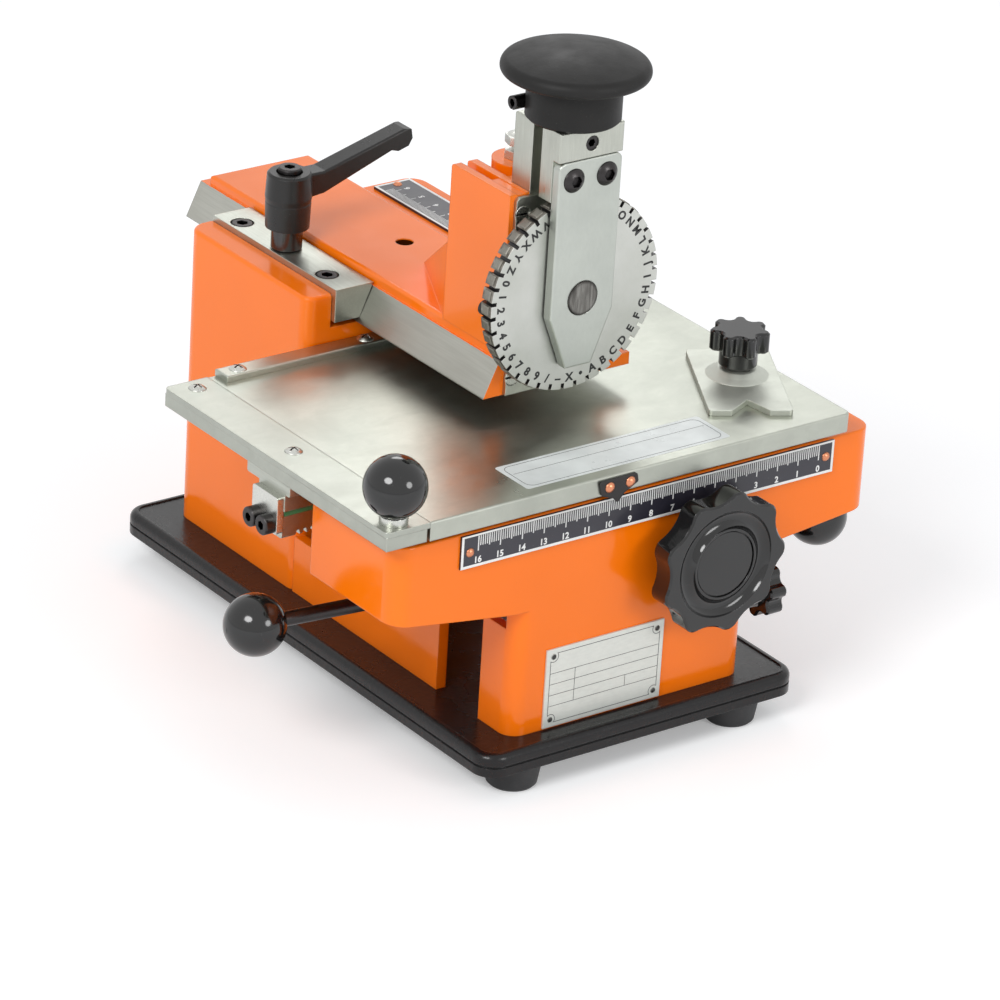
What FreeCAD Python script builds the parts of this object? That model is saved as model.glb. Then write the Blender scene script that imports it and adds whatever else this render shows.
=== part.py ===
"""Table-top metal nameplate marking machine with a character wheel.

Machine frame while modelling: X right, Y back, Z up, millimetres, origin at the
zero tick of the front scale. At the end every shape is moved so that the origin
is the centre of the footprint on the table.
"""
import FreeCAD
import Part
import math
import os

V = FreeCAD.Vector
X_AXIS = V(1, 0, 0)
Y_AXIS = V(0, 1, 0)
Z_AXIS = V(0, 0, 1)

# clearances
RUN = 0.05
SLIDE = 0.12
CLEAR = 0.3
LOOSE = 0.4

# base plate
BASE_X0 = -157.0
BASE_X1 = -8.5
BASE_Y0 = -10.7
BASE_Y1 = 240.0
BASE_TOP = -83.0
BASE_THICK = 8.5
BASE_BOT = BASE_TOP - BASE_THICK
BASE_CORNER = 9.0
BASE_ROUND = 2.9
BASE_RIM_RISE = 0.6
BASE_RIM_W = 3.4
BASE_SHELL = 4.8
BASE_WALL = 5.0
BASE_RIB = 3.0
BEAD_TOP = 4.0
BEAD_H = 0.9
BEAD_D = 0.7

# rubber feet
FOOT_TOP_R = 11.5
FOOT_BOT_R = 9.8
FOOT_H = 10.5
FOOT_Z = BASE_BOT - FOOT_H
FOOT_DX = 52.0
FOOT_INSET = 0.7
FOOT_Y = (BASE_Y0 + FOOT_INSET + FOOT_TOP_R, BASE_Y1 - FOOT_INSET - FOOT_TOP_R)
FOOT_BORE = 5.2
FOOT_SEAT = 5.2
FOOT_SCREW_R = 2.0

# body casting
BODY_X0 = -139.5
BODY_X1 = -28.5
CENTRE_X = (BODY_X0 + BODY_X1) / 2
BODY_Y1 = 227.0
BODY_BACK_R = 8.0
REAR_Y0 = 143.0
REAR_WALL = 6.0
CHEEK_TOP = 41.5
WAY_Z = 27.5
WALL_T = 4.5
LOW_WALL_TOP = -59.4
SLOT_Y0 = 20.0
SLOT_Y1 = 47.0
POST_Y1 = 58.0
COL_WALL = 5.0
COL_FRONT = 6.0
COL_R = 7.0
REAR_R = 5.0
BOLT_DX = 28.0
BOLT_Y = (12.0, 216.0)

# cross beam
BEAM_X0 = -196.0
BEAM_X1 = 28.0
BEAM_Y1 = 53.6
BEAM_TOP = 8.4
BEAM_END_L = -22.9
BEAM_END_R = -24.8
BEAM_MID = -31.0
BEAM_R = 8.0
BEAM_T = 6.0
BEAM_BACK_T = 5.0
BEAM_ROOF = 7.0

# arm and its way
ARM_XC = -86.0
ARM_Y0 = 58.0
ARM_Y1 = 255.0
ARM_TAIL_Y1 = 260.5
ARM_BOT = 28.5
ARM_LIP_Z = 42.6
ARM_TOP = 46.8
ARM_LIP_X0 = -109.6
ARM_LIP_X1 = -62.4
DOVE_X_TOP = -110.5
DOVE_SLOPE = 0.46
FLANGE_X1 = -48.3
FLANGE_TOP = 33.5
FLANGE_NECK_X = -58.5
DOVE_X_BOT = DOVE_X_TOP - DOVE_SLOPE * (ARM_LIP_Z - ARM_BOT)
CHEEK_IN_X = -127.9
OIL_X = -80.8
OIL_Y = 161.8
OIL_R = 3.6
OIL_CORE_R = 2.6

# gib bar
GIB_X0 = CHEEK_IN_X + 0.15
GIB_Y0 = 140.5
GIB_Y1 = 225.5
GIB_Z0 = 30.4
GIB_TOP = 44.0
GIB_SCREW_X = -122.0
GIB_SCREW_Y = (155.0, 213.7)
GIB_SCREW_R = 2.6
GIB_HEAD_R = 4.3
GIB_HEAD_H = 4.4
STUD_X = -121.0
STUD_Y = 184.5
STUD_R = 4.0

# clamp lever
COLLAR_R = 6.2
COLLAR_Z1 = 53.4
HUB_R = 8.7
HUB_R_TOP = 9.2
HUB_Z1 = 76.0
LEVER_LEN = 54.2
LEVER_W = 9.0
LEVER_Z0 = 65.6
LEVER_Z1 = 75.0
LEVER_RISE = 11.9

# head on the arm
HEAD_X0 = -110.0
HEAD_X1 = -62.0
HEAD_TOP = 109.6
HEAD_BACK = 95.0
HEAD_BLOCK_Y1 = 75.0
FIN_T = 3.4
FIN_X = 15.0
BOSS_R = 10.0
BOSS_TOP = 110.5
GUSSET_Y = 141.4
GUSSET_Z = 79.0

# press ram and wheel carrier
RAM_X0 = -101.0
RAM_X1 = -71.0
RAM_Y0 = 58.1
RAM_Y1 = 69.4
RAM_Z0 = 62.0
RAM_TOP = 137.9
SPRING_BORE_R = 4.2
SPRING_BORE_D = 25.0
SPRING_R = 2.9
SPRING_WIRE = 1.1
SPRING_TURNS = 7
BLOCK_X0 = -100.8
BLOCK_X1 = -71.2
BLOCK_Y0 = 41.5
BLOCK_Y1 = 52.8
BLOCK_STEP_Z = 126.4
SET_SCREW_Z = 132.0
SET_SCREW_R = 3.0
COVER_T = 4.0
COVER_PROUD = 0.2
COVER_BOT = 42.2
COVER_TAPER_Z = 63.5
COVER_TIP_W = 12.0
COVER_HEAD_R = 4.8
COVER_HEAD_H = 2.2
NECK_X0 = -93.0
NECK_X1 = -79.0
PLATE_X0 = -108.0
PLATE_X1 = -64.0
PLATE_Y0 = 56.2
PLATE_T = ARM_Y0 - PLATE_Y0 - 0.02
PLATE_Z1 = 108.8
SLOT_Z0 = 46.0

# character wheel
WHEEL_Z = 70.0
WHEEL_R = 38.7
WHEEL_Y0 = 46.2
WHEEL_Y1 = 52.4
WHEEL_N = 40
WHEEL_SLOT_W = 1.5
WHEEL_SLOT_D = 2.3
WHEEL_HUB_R = 12.0
WHEEL_RIM_W = 8.7
WHEEL_DISH = 0.8
TYPE_H = 0.5
TYPE_W = 3.8
AXLE_R = 7.0
AXLE_MID_R = 5.0
AXLE_TAIL_R = 4.0
BLOCK_Z0 = WHEEL_Z + WHEEL_R + TYPE_H + LOOSE

# detent leaf behind the wheel
DETENT_Y0 = WHEEL_Y1 + CLEAR
DETENT_T = 1.4
DETENT_Z = WHEEL_Z - 1.5
DETENT_R = 3.0
DETENT_LAP = 3.4

# palm handle
PALM_Y = 54.3
PALM_Z0 = 138.0
PALM_NECK_R = 18.1
PALM_R = 28.3
PALM_RIM_Z = 157.5
PALM_TOP = 165.4
PALM_DOME_R = 77.0
PALM_LIP = 2.7
PALM_UNDER = math.radians(12)
PALM_STUD_R = 4.0
PIN_Y = PALM_Y + 11.0
PIN_Z = PALM_Z0 + 5.4
PIN_R = 2.7
PIN_X0 = -106.2

# stop screw and cross pin
STOP_Y = 86.0
STOP_HEAD_Z = 119.8
STOP_HEAD_H = 3.4
STOP_R = 2.5
NUT_H = 3.7
HEX_R = 5.4

# table
TAB_X0 = -184.5
TAB_X1 = 12.3
TAB_Y0 = -4.0
TAB_Y1 = 142.4
TAB_TOP = 19.3
TAB_T = 2.3
TAB_LIP_Z = 11.7
TAB_LIP_T = 2.2
STRIP_X0 = -204.0
FENCE_Y0 = 134.0
FENCE_H = 2.7
TAB_SCREW_R = 1.7
WAY_GAP = 0.1
RUNNER_Y0 = 9.0
RUNNER_Y1 = 27.0
KNOB_X = -196.2
KNOB_Y = 3.0
KNOB_STEM_R = 3.0
BALL_R = 12.0
BALL_FLAT = 0.9
BALL_GAP = 2.2

# table rail, bed and rack
RAIL_X0 = -201.5
RAIL_X1 = 9.5
RAIL_Y0 = 61.0
RAIL_Y1 = 89.0
RAIL_Z0 = 6.0
RAIL_BLOCK_Y0 = 64.0
RAIL_BLOCK_Y1 = 81.0
RAIL_BLOCK_Z0 = -1.0
LINER_Z0 = -3.2
RACK_T = 3.0
RACK_Y0 = 65.0
RACK_Y1 = 80.0
RACK_PLATE_Z0 = -10.0
RACK_PLATE_Z1 = 5.0
BED_X0 = -134.8
BED_X1 = -33.2
BED_Y1 = 91.0
BED_Z0 = -17.0

# handwheel, shaft and pinion
HW_X = -56.0
HW_Z = -22.5
HW_FRONT = -18.0
HW_R = 29.0
HW_RIM_T = 9.5
HW_LOBES = 9
HW_LOBE_D = 3.2
HW_HOLLOW = 3.0
HW_EDGE = 0.7
HW_CHANNEL_W = 7.4
HW_CHANNEL_D = 2.6
HW_HUB_R = 9.0
HW_HUB_L = 6.9
SHAFT_R = 5.0
SHAFT_IN = 1.5
BUSH_R = 7.5
BUSH_FLANGE = 1.4
GEAR_MODULE = 1.0
GEAR_TEETH = 22
GEAR_PITCH_R = GEAR_MODULE * GEAR_TEETH / 2
GEAR_DEPTH = 2.1
GEAR_BACKLASH = 0.12
RACK_BOT = HW_Z + GEAR_PITCH_R - GEAR_MODULE + GEAR_BACKLASH
GEAR_Y0 = 66.5
GEAR_Y1 = 78.5

# cross lever
PLUNGER_Z = -7.4
LEV_X = -84.0
LEV_Y = 36.9
LEV_Z = -38.0
LEV_ANGLE = 6.74
LEV_L = 137.2
LEV_RR = 108.2
ROD_R = 2.9
LEV_HUB_R = 8.0

# small side knob
SIDE_Y = 8.0
SIDE_Z = -53.6
SIDE_R = 11.0
SIDE_STUD_R = 3.0
SIDE_GAP = 1.2
SIDE_HUB_L = 8.6
SIDE_HEAD_L = 8.0

# work clamp
CLAMP_CX = -10.1
CLAMP_CY = 37.4
CLAMP_L = 57.0
CLAMP_W = 32.6
CLAMP_T = 2.3
CLAMP_ANGLE = -28.7
CLAMP_KNOB_OFF = 5.5
STAR_R = 11.7
STAR_Z0 = 25.15
STAR_TOP = 40.8
STAR_HUB_R = 7.5
STAR_HEAD_H = 8.6
STAR_LOBES = 7
STAR_WAIST = 0.74
STAR_HOLLOW = 1.0
STAR_CHAMFER = 0.8
CLAMP_BOLT_R = 3.0
CLAMP_BOLT_IN = 9.5
CLAMP_TURN = math.radians(CLAMP_ANGLE)
CLAMP_KX = CLAMP_CX - CLAMP_KNOB_OFF * math.sin(CLAMP_TURN)
CLAMP_KY = CLAMP_CY + CLAMP_KNOB_OFF * math.cos(CLAMP_TURN)


def box(x0, x1, y0, y1, z0, z1):
    return Part.makeBox(x1 - x0, y1 - y0, z1 - z0, V(x0, y0, z0))


def cyl(x, y, z, r, h, axis=Z_AXIS):
    return Part.makeCylinder(r, h, V(x, y, z), axis)


def cone(x, y, z, r1, r2, h, axis=Z_AXIS):
    return Part.makeCone(r1, r2, h, V(x, y, z), axis)


def fuse(shapes):
    out = shapes[0]
    if len(shapes) > 1:
        out = out.fuse(shapes[1:])
    return out.removeSplitter()


def poly_face(points):
    return Part.Face(Part.makePolygon([V(*p) for p in points] + [V(*points[0])]))


def prism_xz(pts, y0, y1):
    return poly_face([(x, y0, z) for x, z in pts]).extrude(V(0, y1 - y0, 0))


def prism_yz(pts, x0, x1):
    return poly_face([(x0, y, z) for y, z in pts]).extrude(V(x1 - x0, 0, 0))


def prism_xy(pts, z0, z1):
    return poly_face([(x, y, z0) for x, y in pts]).extrude(V(0, 0, z1 - z0))


def pick(shape, test):
    """Edges whose two ends and middle all pass a test on their position."""
    out = []
    for e in shape.Edges:
        pts = [v.Point for v in e.Vertexes]
        if len(pts) < 2:
            continue
        mid = e.valueAt((e.FirstParameter + e.LastParameter) / 2)
        if all(test(p) for p in pts + [mid]):
            out.append(e)
    return out


def near(a, b):
    return abs(a - b) < 0.01


def upright(shape, corners):
    """Vertical edges standing at the listed plan corners."""
    return pick(shape, lambda p: any(near(p.x, x) and near(p.y, y) for x, y in corners))


def round_box(x0, x1, y0, y1, z0, z1, r):
    b = box(x0, x1, y0, y1, z0, z1)
    return b.makeFillet(r, upright(b, [(x0, y0), (x0, y1), (x1, y0), (x1, y1)]))


def revolve_z(points, x, y):
    """Solid of revolution from (radius, height) points joined by lines."""
    f = poly_face([(r, 0, z) for r, z in points])
    s = f.revolve(V(0, 0, 0), Z_AXIS, 360)
    s.translate(V(x, y, 0))
    return s


def turn_profile(edges, x, y):
    """Solid of revolution about a vertical axis from the edges of a closed profile at y 0."""
    s = Part.Face(Part.Wire(edges)).revolve(V(0, 0, 0), Z_AXIS, 360)
    s.translate(V(x, y, 0))
    return s


def profile_line(a, b):
    return Part.makeLine(V(a[0], 0, a[1]), V(b[0], 0, b[1]))


def profile_arc(a, b, c):
    return Part.Arc(V(a[0], 0, a[1]), V(b[0], 0, b[1]), V(c[0], 0, c[1])).toShape()


def lobed_wire(r_out, r_in, n, z, ratio):
    """Outline of n round lobes joined by tangent hollows; ratio is hollow radius over lobe radius."""
    c = math.cos(math.pi / n)
    square = 2 * ratio * (c - 1)
    linear = 2 * (r_in * ratio - r_out - c * (r_out * ratio - r_in))
    fixed = r_out ** 2 + r_in ** 2 - 2 * r_out * r_in * c
    lobe = (-linear - math.sqrt(linear ** 2 - 4 * square * fixed)) / (2 * square)

    def polar(r, a):
        return V(r * math.cos(a), r * math.sin(a), z)

    edges = []
    step = math.pi / n
    for i in range(n):
        a = 2 * step * i
        lobe_c = polar(r_out - lobe, a)
        before = lobe_c + (polar(r_in + ratio * lobe, a - step) - lobe_c) / (1 + ratio)
        after = lobe_c + (polar(r_in + ratio * lobe, a + step) - lobe_c) / (1 + ratio)
        next_c = polar(r_out - lobe, a + 2 * step)
        onward = next_c + (polar(r_in + ratio * lobe, a + step) - next_c) / (1 + ratio)
        edges.append(Part.Arc(before, polar(r_out, a), after).toShape())
        edges.append(Part.Arc(after, polar(r_in, a + step), onward).toShape())
    return Part.Wire(edges)


def flat_edges(shape):
    """Edges that lie in a horizontal plane."""
    return [e for e in shape.Edges if near(e.BoundBox.ZMin, e.BoundBox.ZMax)]


def ring_points(r, n, turn=0.0):
    """Corners of a regular polygon about the origin."""
    return [(r * math.cos(2 * math.pi * i / n + math.radians(turn)),
             r * math.sin(2 * math.pi * i / n + math.radians(turn))) for i in range(n)]


def socket_screw(head_r, head_h, shank_r, shank_l, hex_r, hex_d):
    """Cap screw along +Z: head top at 0, shank below the head."""
    head = cyl(0, 0, -head_h, head_r, head_h)
    edges = [e for e in head.Edges if near(e.BoundBox.ZMin, 0) and near(e.BoundBox.ZMax, 0)]
    head = head.makeChamfer(head_r * 0.1, edges)
    shank = cyl(0, 0, -head_h - shank_l, shank_r, shank_l)
    return fuse([head, shank]).cut(prism_xy(ring_points(hex_r, 6), -hex_d, 0.1))


def rivet(head_r, head_h, shank_r, shank_l):
    """Domed head and shank along +Z: seat of the head at 0."""
    sphere_r = (head_r ** 2 + head_h ** 2) / (2 * head_h)
    half = math.asin(head_r / sphere_r) / 2
    mid = (sphere_r * math.sin(half), head_h - sphere_r + sphere_r * math.cos(half))
    top = (0, head_h)
    foot = (0, -shank_l)
    edges = [profile_arc(top, mid, (head_r, 0)), profile_line((head_r, 0), (shank_r, 0)),
             profile_line((shank_r, 0), (shank_r, -shank_l)), profile_line((shank_r, -shank_l), foot),
             profile_line(foot, top)]
    return turn_profile(edges, 0, 0)


def pan_screw(head_r, head_h, shank_r, shank_l):
    """Cross-recess pan screw along +Z: seat of the head at 0."""
    body = rivet(head_r, head_h, shank_r, shank_l)
    slot = head_r * 0.22
    arm = head_r * 0.62
    deep = head_h * 0.45
    for a in (20, 110):
        bar = box(-arm, arm, -slot / 2, slot / 2, head_h - deep, head_h + 1)
        bar.rotate(V(0, 0, 0), Z_AXIS, a)
        body = body.cut(bar)
    return body


def ball_knob(bore_r, bore_d, flat):
    """Ball along +Z about its centre, with a flat at the bottom and a blind bore."""
    flat_r = math.sqrt(BALL_R ** 2 - (BALL_R - flat) ** 2)
    z0 = flat - BALL_R
    edges = [profile_arc((0, BALL_R), (BALL_R, 0), (flat_r, z0)), profile_line((flat_r, z0), (bore_r, z0)),
             profile_line((bore_r, z0), (bore_r, z0 + bore_d)),
             profile_line((bore_r, z0 + bore_d), (0, z0 + bore_d)),
             profile_line((0, z0 + bore_d), (0, BALL_R))]
    return turn_profile(edges, 0, 0)


def place(shape, x, y, z, axis=Z_AXIS):
    """Turn a part made along +Z so that it points along an axis, then move it."""
    s = shape.copy()
    rot = FreeCAD.Rotation(Z_AXIS, axis)
    s.Placement = FreeCAD.Placement(V(x, y, z), rot).multiply(s.Placement)
    return s


def group(shapes):
    return Part.makeCompound(shapes)


FRONT = V(0, -1, 0)
LEFT = V(-1, 0, 0)
DOWN = V(0, 0, -1)

# fastener places that two or more parts share
FEET = [(CENTRE_X + sx * FOOT_DX, y) for sx in (-1, 1) for y in FOOT_Y]
BODY_BOLTS = [(CENTRE_X + sx * BOLT_DX, y) for sx in (-1, 1) for y in BOLT_Y]
BODY_BOLT_R = 2.8
BOLT_HEAD_R = 4.8
BOLT_HEAD_H = 4.0
BOLT_BOSS_R = 9.0
BOLT_SEAT = BASE_TOP - 4.3
NAME_X = (-124.5, -69.4)
NAME_Z = (-82.2, -49.4)
NAME_PINS = [(x, z) for x in (NAME_X[0] + 3.2, NAME_X[1] - 3.2) for z in (NAME_Z[0] + 3.2, NAME_Z[1] - 3.2)]
SCALE_X = (-167.6, 7.4)
SCALE_Z = (-5.4, 7.9)
SCALE_RIVETS = [(-163.6, 0.9), (3.6, 1.6)]
SCALE_T = 1.0
NAME_T = 0.8
RULER_T = 1.1
RULER_X = (-52.6, -35.0)
RULER_Y = (148.0, 222.6)
RULER_RIVETS = [(-43.0, 219.8), (-43.0, 151.4)]
RIVET_R = 1.2
NAME_PIN_R = 0.8
STRIP_SCREWS = [(-193.6, 135.4), (-193.6, 70.9)]
FENCE_SCREWS = [(-173.6, 138.2), (-114.6, 138.2), (0.6, 138.2)]
RACK_SCREW_Y = (68.6, 77.0)
RACK_SCREW_Z = -6.6
RACK_SCREW_R = 1.9
POINTER_RIVETS = [(-103.5, 14.9), (-94.0, 15.2)]
POINTER_T = 0.9
POINTER_RIVET_R = 1.1
PLATE_SCREWS = [(-105.0, 102.0), (-67.0, 102.0), (-105.0, 36.0), (-67.0, 36.0)]
PLATE_SCREW_R = 2.0
COVER_SCREWS = [(ARM_XC - 7.6, 118.6), (ARM_XC + 7.6, 118.6)]
COVER_SCREW_R = 2.2
BED_SCREWS = [(-118.0, -10.0), (-92.0, -10.0)]
BED_SCREW_R = 2.6
PLUNGER_R = 2.0
LEVER_PIN_R = 3.0


def base_plate():
    b = round_box(BASE_X0, BASE_X1, BASE_Y0, BASE_Y1, BASE_BOT, BASE_TOP + BASE_RIM_RISE, BASE_CORNER)
    b = b.makeFillet(BASE_ROUND, [e for e in b.Edges if near(e.BoundBox.ZMin, BASE_TOP + BASE_RIM_RISE)])
    w = BASE_RIM_W
    flat = round_box(BASE_X0 + w, BASE_X1 - w, BASE_Y0 + w, BASE_Y1 - w, BASE_TOP, BASE_TOP + 2,
                     BASE_CORNER - w)
    # groove round the edge below the rounded rim
    z = BASE_TOP - BEAD_TOP
    g = BEAD_D
    ring = round_box(BASE_X0 - 1, BASE_X1 + 1, BASE_Y0 - 1, BASE_Y1 + 1, z - BEAD_H, z, BASE_CORNER + 1)
    core = round_box(BASE_X0 + g, BASE_X1 - g, BASE_Y0 + g, BASE_Y1 - g, z - BEAD_H - 1, z + 1,
                     BASE_CORNER - g)
    # hollow underside with a middle rib and a boss at each foot and bolt
    i = BASE_WALL
    roof = BASE_BOT + BASE_THICK - BASE_SHELL
    hollow = round_box(BASE_X0 + i, BASE_X1 - i, BASE_Y0 + i, BASE_Y1 - i, BASE_BOT - 1, roof,
                       BASE_CORNER - i)
    mid = (BASE_Y0 + BASE_Y1) / 2
    solid = [box(BASE_X0 + 1, BASE_X1 - 1, mid - BASE_RIB / 2, mid + BASE_RIB / 2, BASE_BOT, roof + 1)]
    solid += [cyl(x, y, BASE_BOT, FOOT_TOP_R, roof + 1 - BASE_BOT) for x, y in FEET]
    solid += [cyl(x, y, BASE_BOT, BOLT_BOSS_R, roof + 1 - BASE_BOT) for x, y in BODY_BOLTS]
    b = b.cut([flat, ring.cut(core), hollow.cut(solid)])
    holes = [cyl(x, y, BASE_BOT - 1, BODY_BOLT_R + CLEAR, BASE_THICK + 3) for x, y in BODY_BOLTS]
    holes += [cyl(x, y, BASE_BOT - 1, BOLT_HEAD_R + LOOSE, BOLT_SEAT - BASE_BOT + 1) for x, y in BODY_BOLTS]
    holes += [cyl(x, y, BASE_BOT - 1, FOOT_SCREW_R, BASE_THICK - 1) for x, y in FEET]
    return b.cut(holes)


def feet():
    hole_r = FOOT_SCREW_R + CLEAR
    pts = [(hole_r, 0), (hole_r, -FOOT_SEAT), (FOOT_BORE, -FOOT_SEAT), (FOOT_BORE, -FOOT_H),
           (FOOT_BOT_R - 1.0, -FOOT_H), (FOOT_BOT_R, -FOOT_H + 1.0), (FOOT_TOP_R - 0.3, -1.0),
           (FOOT_TOP_R, 0)]
    out = []
    for x, y in FEET:
        f = revolve_z(pts, x, y)
        f.translate(V(0, 0, BASE_BOT))
        out.append(f)
    return group(out)


def foot_screws():
    s = pan_screw(FOOT_BORE - 0.8, 2.2, FOOT_SCREW_R, 9.0)
    return group([place(s, x, y, BASE_BOT - FOOT_SEAT, DOWN) for x, y in FEET])


def body_casting():
    rear = box(BODY_X0, BODY_X1, REAR_Y0, BODY_Y1, BASE_TOP, CHEEK_TOP)
    rear = rear.makeFillet(REAR_R, upright(rear, [(BODY_X0, REAR_Y0), (BODY_X1, REAR_Y0)]))
    rear = rear.makeFillet(BODY_BACK_R, upright(rear, [(BODY_X0, BODY_Y1), (BODY_X1, BODY_Y1)]))
    rear = rear.makeFillet(1.6, [e for e in rear.Edges if near(e.BoundBox.ZMin, CHEEK_TOP)])
    w = REAR_WALL
    rear = rear.cut(box(BODY_X0 + w, BODY_X1 - w, REAR_Y0 + w, BODY_Y1 - w, BASE_TOP - 1, WAY_Z - 6.5))
    g = SLIDE
    channel = [(CHEEK_IN_X, CHEEK_TOP + 5), (CHEEK_IN_X, WAY_Z), (FLANGE_X1 + g, WAY_Z),
               (FLANGE_X1 + g, FLANGE_TOP + g), (FLANGE_NECK_X + LOOSE, FLANGE_TOP + g),
               (FLANGE_NECK_X + LOOSE, CHEEK_TOP + 5)]
    rear = rear.cut(prism_xz(channel, REAR_Y0 - 1, BODY_Y1 + 1))
    way = box(DOVE_X_BOT + 3, FLANGE_X1 - 1, REAR_Y0, BODY_Y1, WAY_Z - 0.5, ARM_BOT - RUN)
    rear = rear.fuse(way)

    column = box(BODY_X0, BODY_X1, 0, SLOT_Y0, BASE_TOP, BEAM_MID + 6)
    column = column.makeFillet(COL_R, upright(column, [(BODY_X0, 0), (BODY_X1, 0)]))
    side_l = box(BODY_X0, BODY_X0 + WALL_T, SLOT_Y1, REAR_Y0 + 1, BASE_TOP, LOW_WALL_TOP)
    side_r = box(BODY_X1 - WALL_T, BODY_X1, SLOT_Y1, REAR_Y0 + 1, BASE_TOP, LOW_WALL_TOP)
    post_l = box(BODY_X0, BODY_X0 + WALL_T, SLOT_Y1, POST_Y1, BASE_TOP, BEAM_MID + 6)
    post_r = box(BODY_X1 - WALL_T, BODY_X1, SLOT_Y1, POST_Y1, BASE_TOP, BEAM_MID + 6)

    under = [(BEAM_X0, BEAM_END_L), (BODY_X0, BEAM_MID), (BODY_X1, BEAM_MID), (BEAM_X1, BEAM_END_R),
             (BEAM_X1, BEAM_TOP), (BEAM_X0, BEAM_TOP)]
    beam = prism_xz(under, 0, BEAM_Y1)
    beam = beam.makeFillet(BEAM_R, upright(beam, [(BEAM_X0, 0), (BEAM_X1, 0)]))
    front_top = pick(beam, lambda p: near(p.z, BEAM_TOP) and p.y < BEAM_R + 0.1)
    beam = beam.makeFillet(0.8, front_top)
    body = fuse([beam, column, side_l, side_r, post_l, post_r, rear])

    low = BASE_TOP - 1
    cuts = []
    room = [(BEAM_X0 + BEAM_T, BEAM_END_L - 9), (BODY_X0 + COL_WALL, BEAM_MID - 9),
            (BODY_X0 + COL_WALL, low), (BODY_X1 - COL_WALL, low), (BODY_X1 - COL_WALL, BEAM_MID - 9),
            (BEAM_X1 - BEAM_T, BEAM_END_R - 9), (BEAM_X1 - BEAM_T, BEAM_TOP - BEAM_ROOF),
            (BEAM_X0 + BEAM_T, BEAM_TOP - BEAM_ROOF)]
    cuts.append(prism_xz(room, COL_FRONT, BEAM_Y1 - BEAM_BACK_T))
    cuts.append(box(BODY_X0 + WALL_T, BODY_X1 - WALL_T, SLOT_Y1 - 5, POST_Y1 + 1, low, BEAM_MID - 4))
    cuts.append(box(BODY_X0 + WALL_T, BODY_X1 - WALL_T, SLOT_Y0 - 3, SLOT_Y1 + 3, low, BEAM_MID))
    body = body.cut(cuts)

    adds = []
    adds.append(cyl(HW_X, 1, HW_Z, 12.0, 13, Y_AXIS).common(
        box(-80, -20, 1, 14, BEAM_MID, BEAM_TOP)))
    adds.append(cyl(HW_X, BEAM_Y1 - 12, HW_Z, 11.0, 12, Y_AXIS))
    adds.append(cyl(LEV_X, LEV_Y, -2.0, 9.0, 5.0))
    for x, y in BODY_BOLTS:
        adds.append(cyl(x, y, BASE_TOP, 6.5, 16))
    adds.append(cyl(BODY_X1 - 11, SIDE_Y, SIDE_Z, 6.0, 8, X_AXIS))
    body = fuse([body] + adds)

    holes = []
    holes.append(cyl(HW_X, -1, HW_Z, BUSH_R, 17, Y_AXIS))
    holes.append(cyl(HW_X, BEAM_Y1 - 13, HW_Z, BUSH_R, 15, Y_AXIS))
    holes.append(cyl(LEV_X, LEV_Y, -3, LEVER_PIN_R, 8.0))
    holes.append(cyl(LEV_X, BEAM_Y1 - 7, PLUNGER_Z, PLUNGER_R + 2 * CLEAR, 8, Y_AXIS))
    for x, z in BED_SCREWS:
        holes.append(cyl(x, BEAM_Y1 - 6, z, BED_SCREW_R, 8, Y_AXIS))
    for x, y in BODY_BOLTS:
        holes.append(cyl(x, y, low, BODY_BOLT_R, 14))
    for y in GIB_SCREW_Y:
        holes.append(cyl(GIB_SCREW_X, y, WAY_Z - 7, GIB_SCREW_R, 9))
    holes.append(cyl(STUD_X, STUD_Y, WAY_Z - 7, STUD_R, 9))
    holes.append(cyl(BODY_X1 - 12, SIDE_Y, SIDE_Z, SIDE_STUD_R + RUN, 14, X_AXIS))
    for x, z in SCALE_RIVETS:
        holes.append(cyl(x, -1, z, RIVET_R, 4, Y_AXIS))
    for x, z in NAME_PINS:
        holes.append(cyl(x, -1, z, NAME_PIN_R, 3, Y_AXIS))
    for x, y in RULER_RIVETS:
        holes.append(cyl(x, y, CHEEK_TOP - 3, RIVET_R, 4))
    return body.cut(holes)


def body_bolts():
    s = socket_screw(BOLT_HEAD_R, BOLT_HEAD_H, BODY_BOLT_R, 15.0, 2.4, 2.4)
    return group([place(s, x, y, BOLT_SEAT - BOLT_HEAD_H, DOWN) for x, y in BODY_BOLTS])


def scale_plate():
    s = box(SCALE_X[0], SCALE_X[1], -SCALE_T, 0, SCALE_Z[0], SCALE_Z[1])
    return s.cut([cyl(x, -2, z, RIVET_R, 3, Y_AXIS) for x, z in SCALE_RIVETS])


def scale_rivets():
    """Copper rivets of the front scale and of the ruler on the right cheek."""
    r = rivet(1.9, 1.1, RIVET_R, 3.6)
    front = [place(r, x, -SCALE_T, z, FRONT) for x, z in SCALE_RIVETS]
    return group(front + [place(r, x, y, CHEEK_TOP + RULER_T) for x, y in RULER_RIVETS])


def name_plate():
    s = box(NAME_X[0], NAME_X[1], -NAME_T, 0, NAME_Z[0], NAME_Z[1])
    return s.cut([cyl(x, -2, z, NAME_PIN_R, 3, Y_AXIS) for x, z in NAME_PINS])


def name_pins():
    r = rivet(NAME_PIN_R + LOOSE, 0.6, NAME_PIN_R, 2.6)
    return group([place(r, x, -NAME_T, z, FRONT) for x, z in NAME_PINS])


def arm_ruler():
    s = box(RULER_X[0], RULER_X[1], RULER_Y[0], RULER_Y[1], CHEEK_TOP, CHEEK_TOP + RULER_T)
    return s.cut([cyl(x, y, CHEEK_TOP - 1, RIVET_R, 4) for x, y in RULER_RIVETS])


def dove_x(z):
    return DOVE_X_TOP - DOVE_SLOPE * (ARM_LIP_Z - z)


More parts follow.
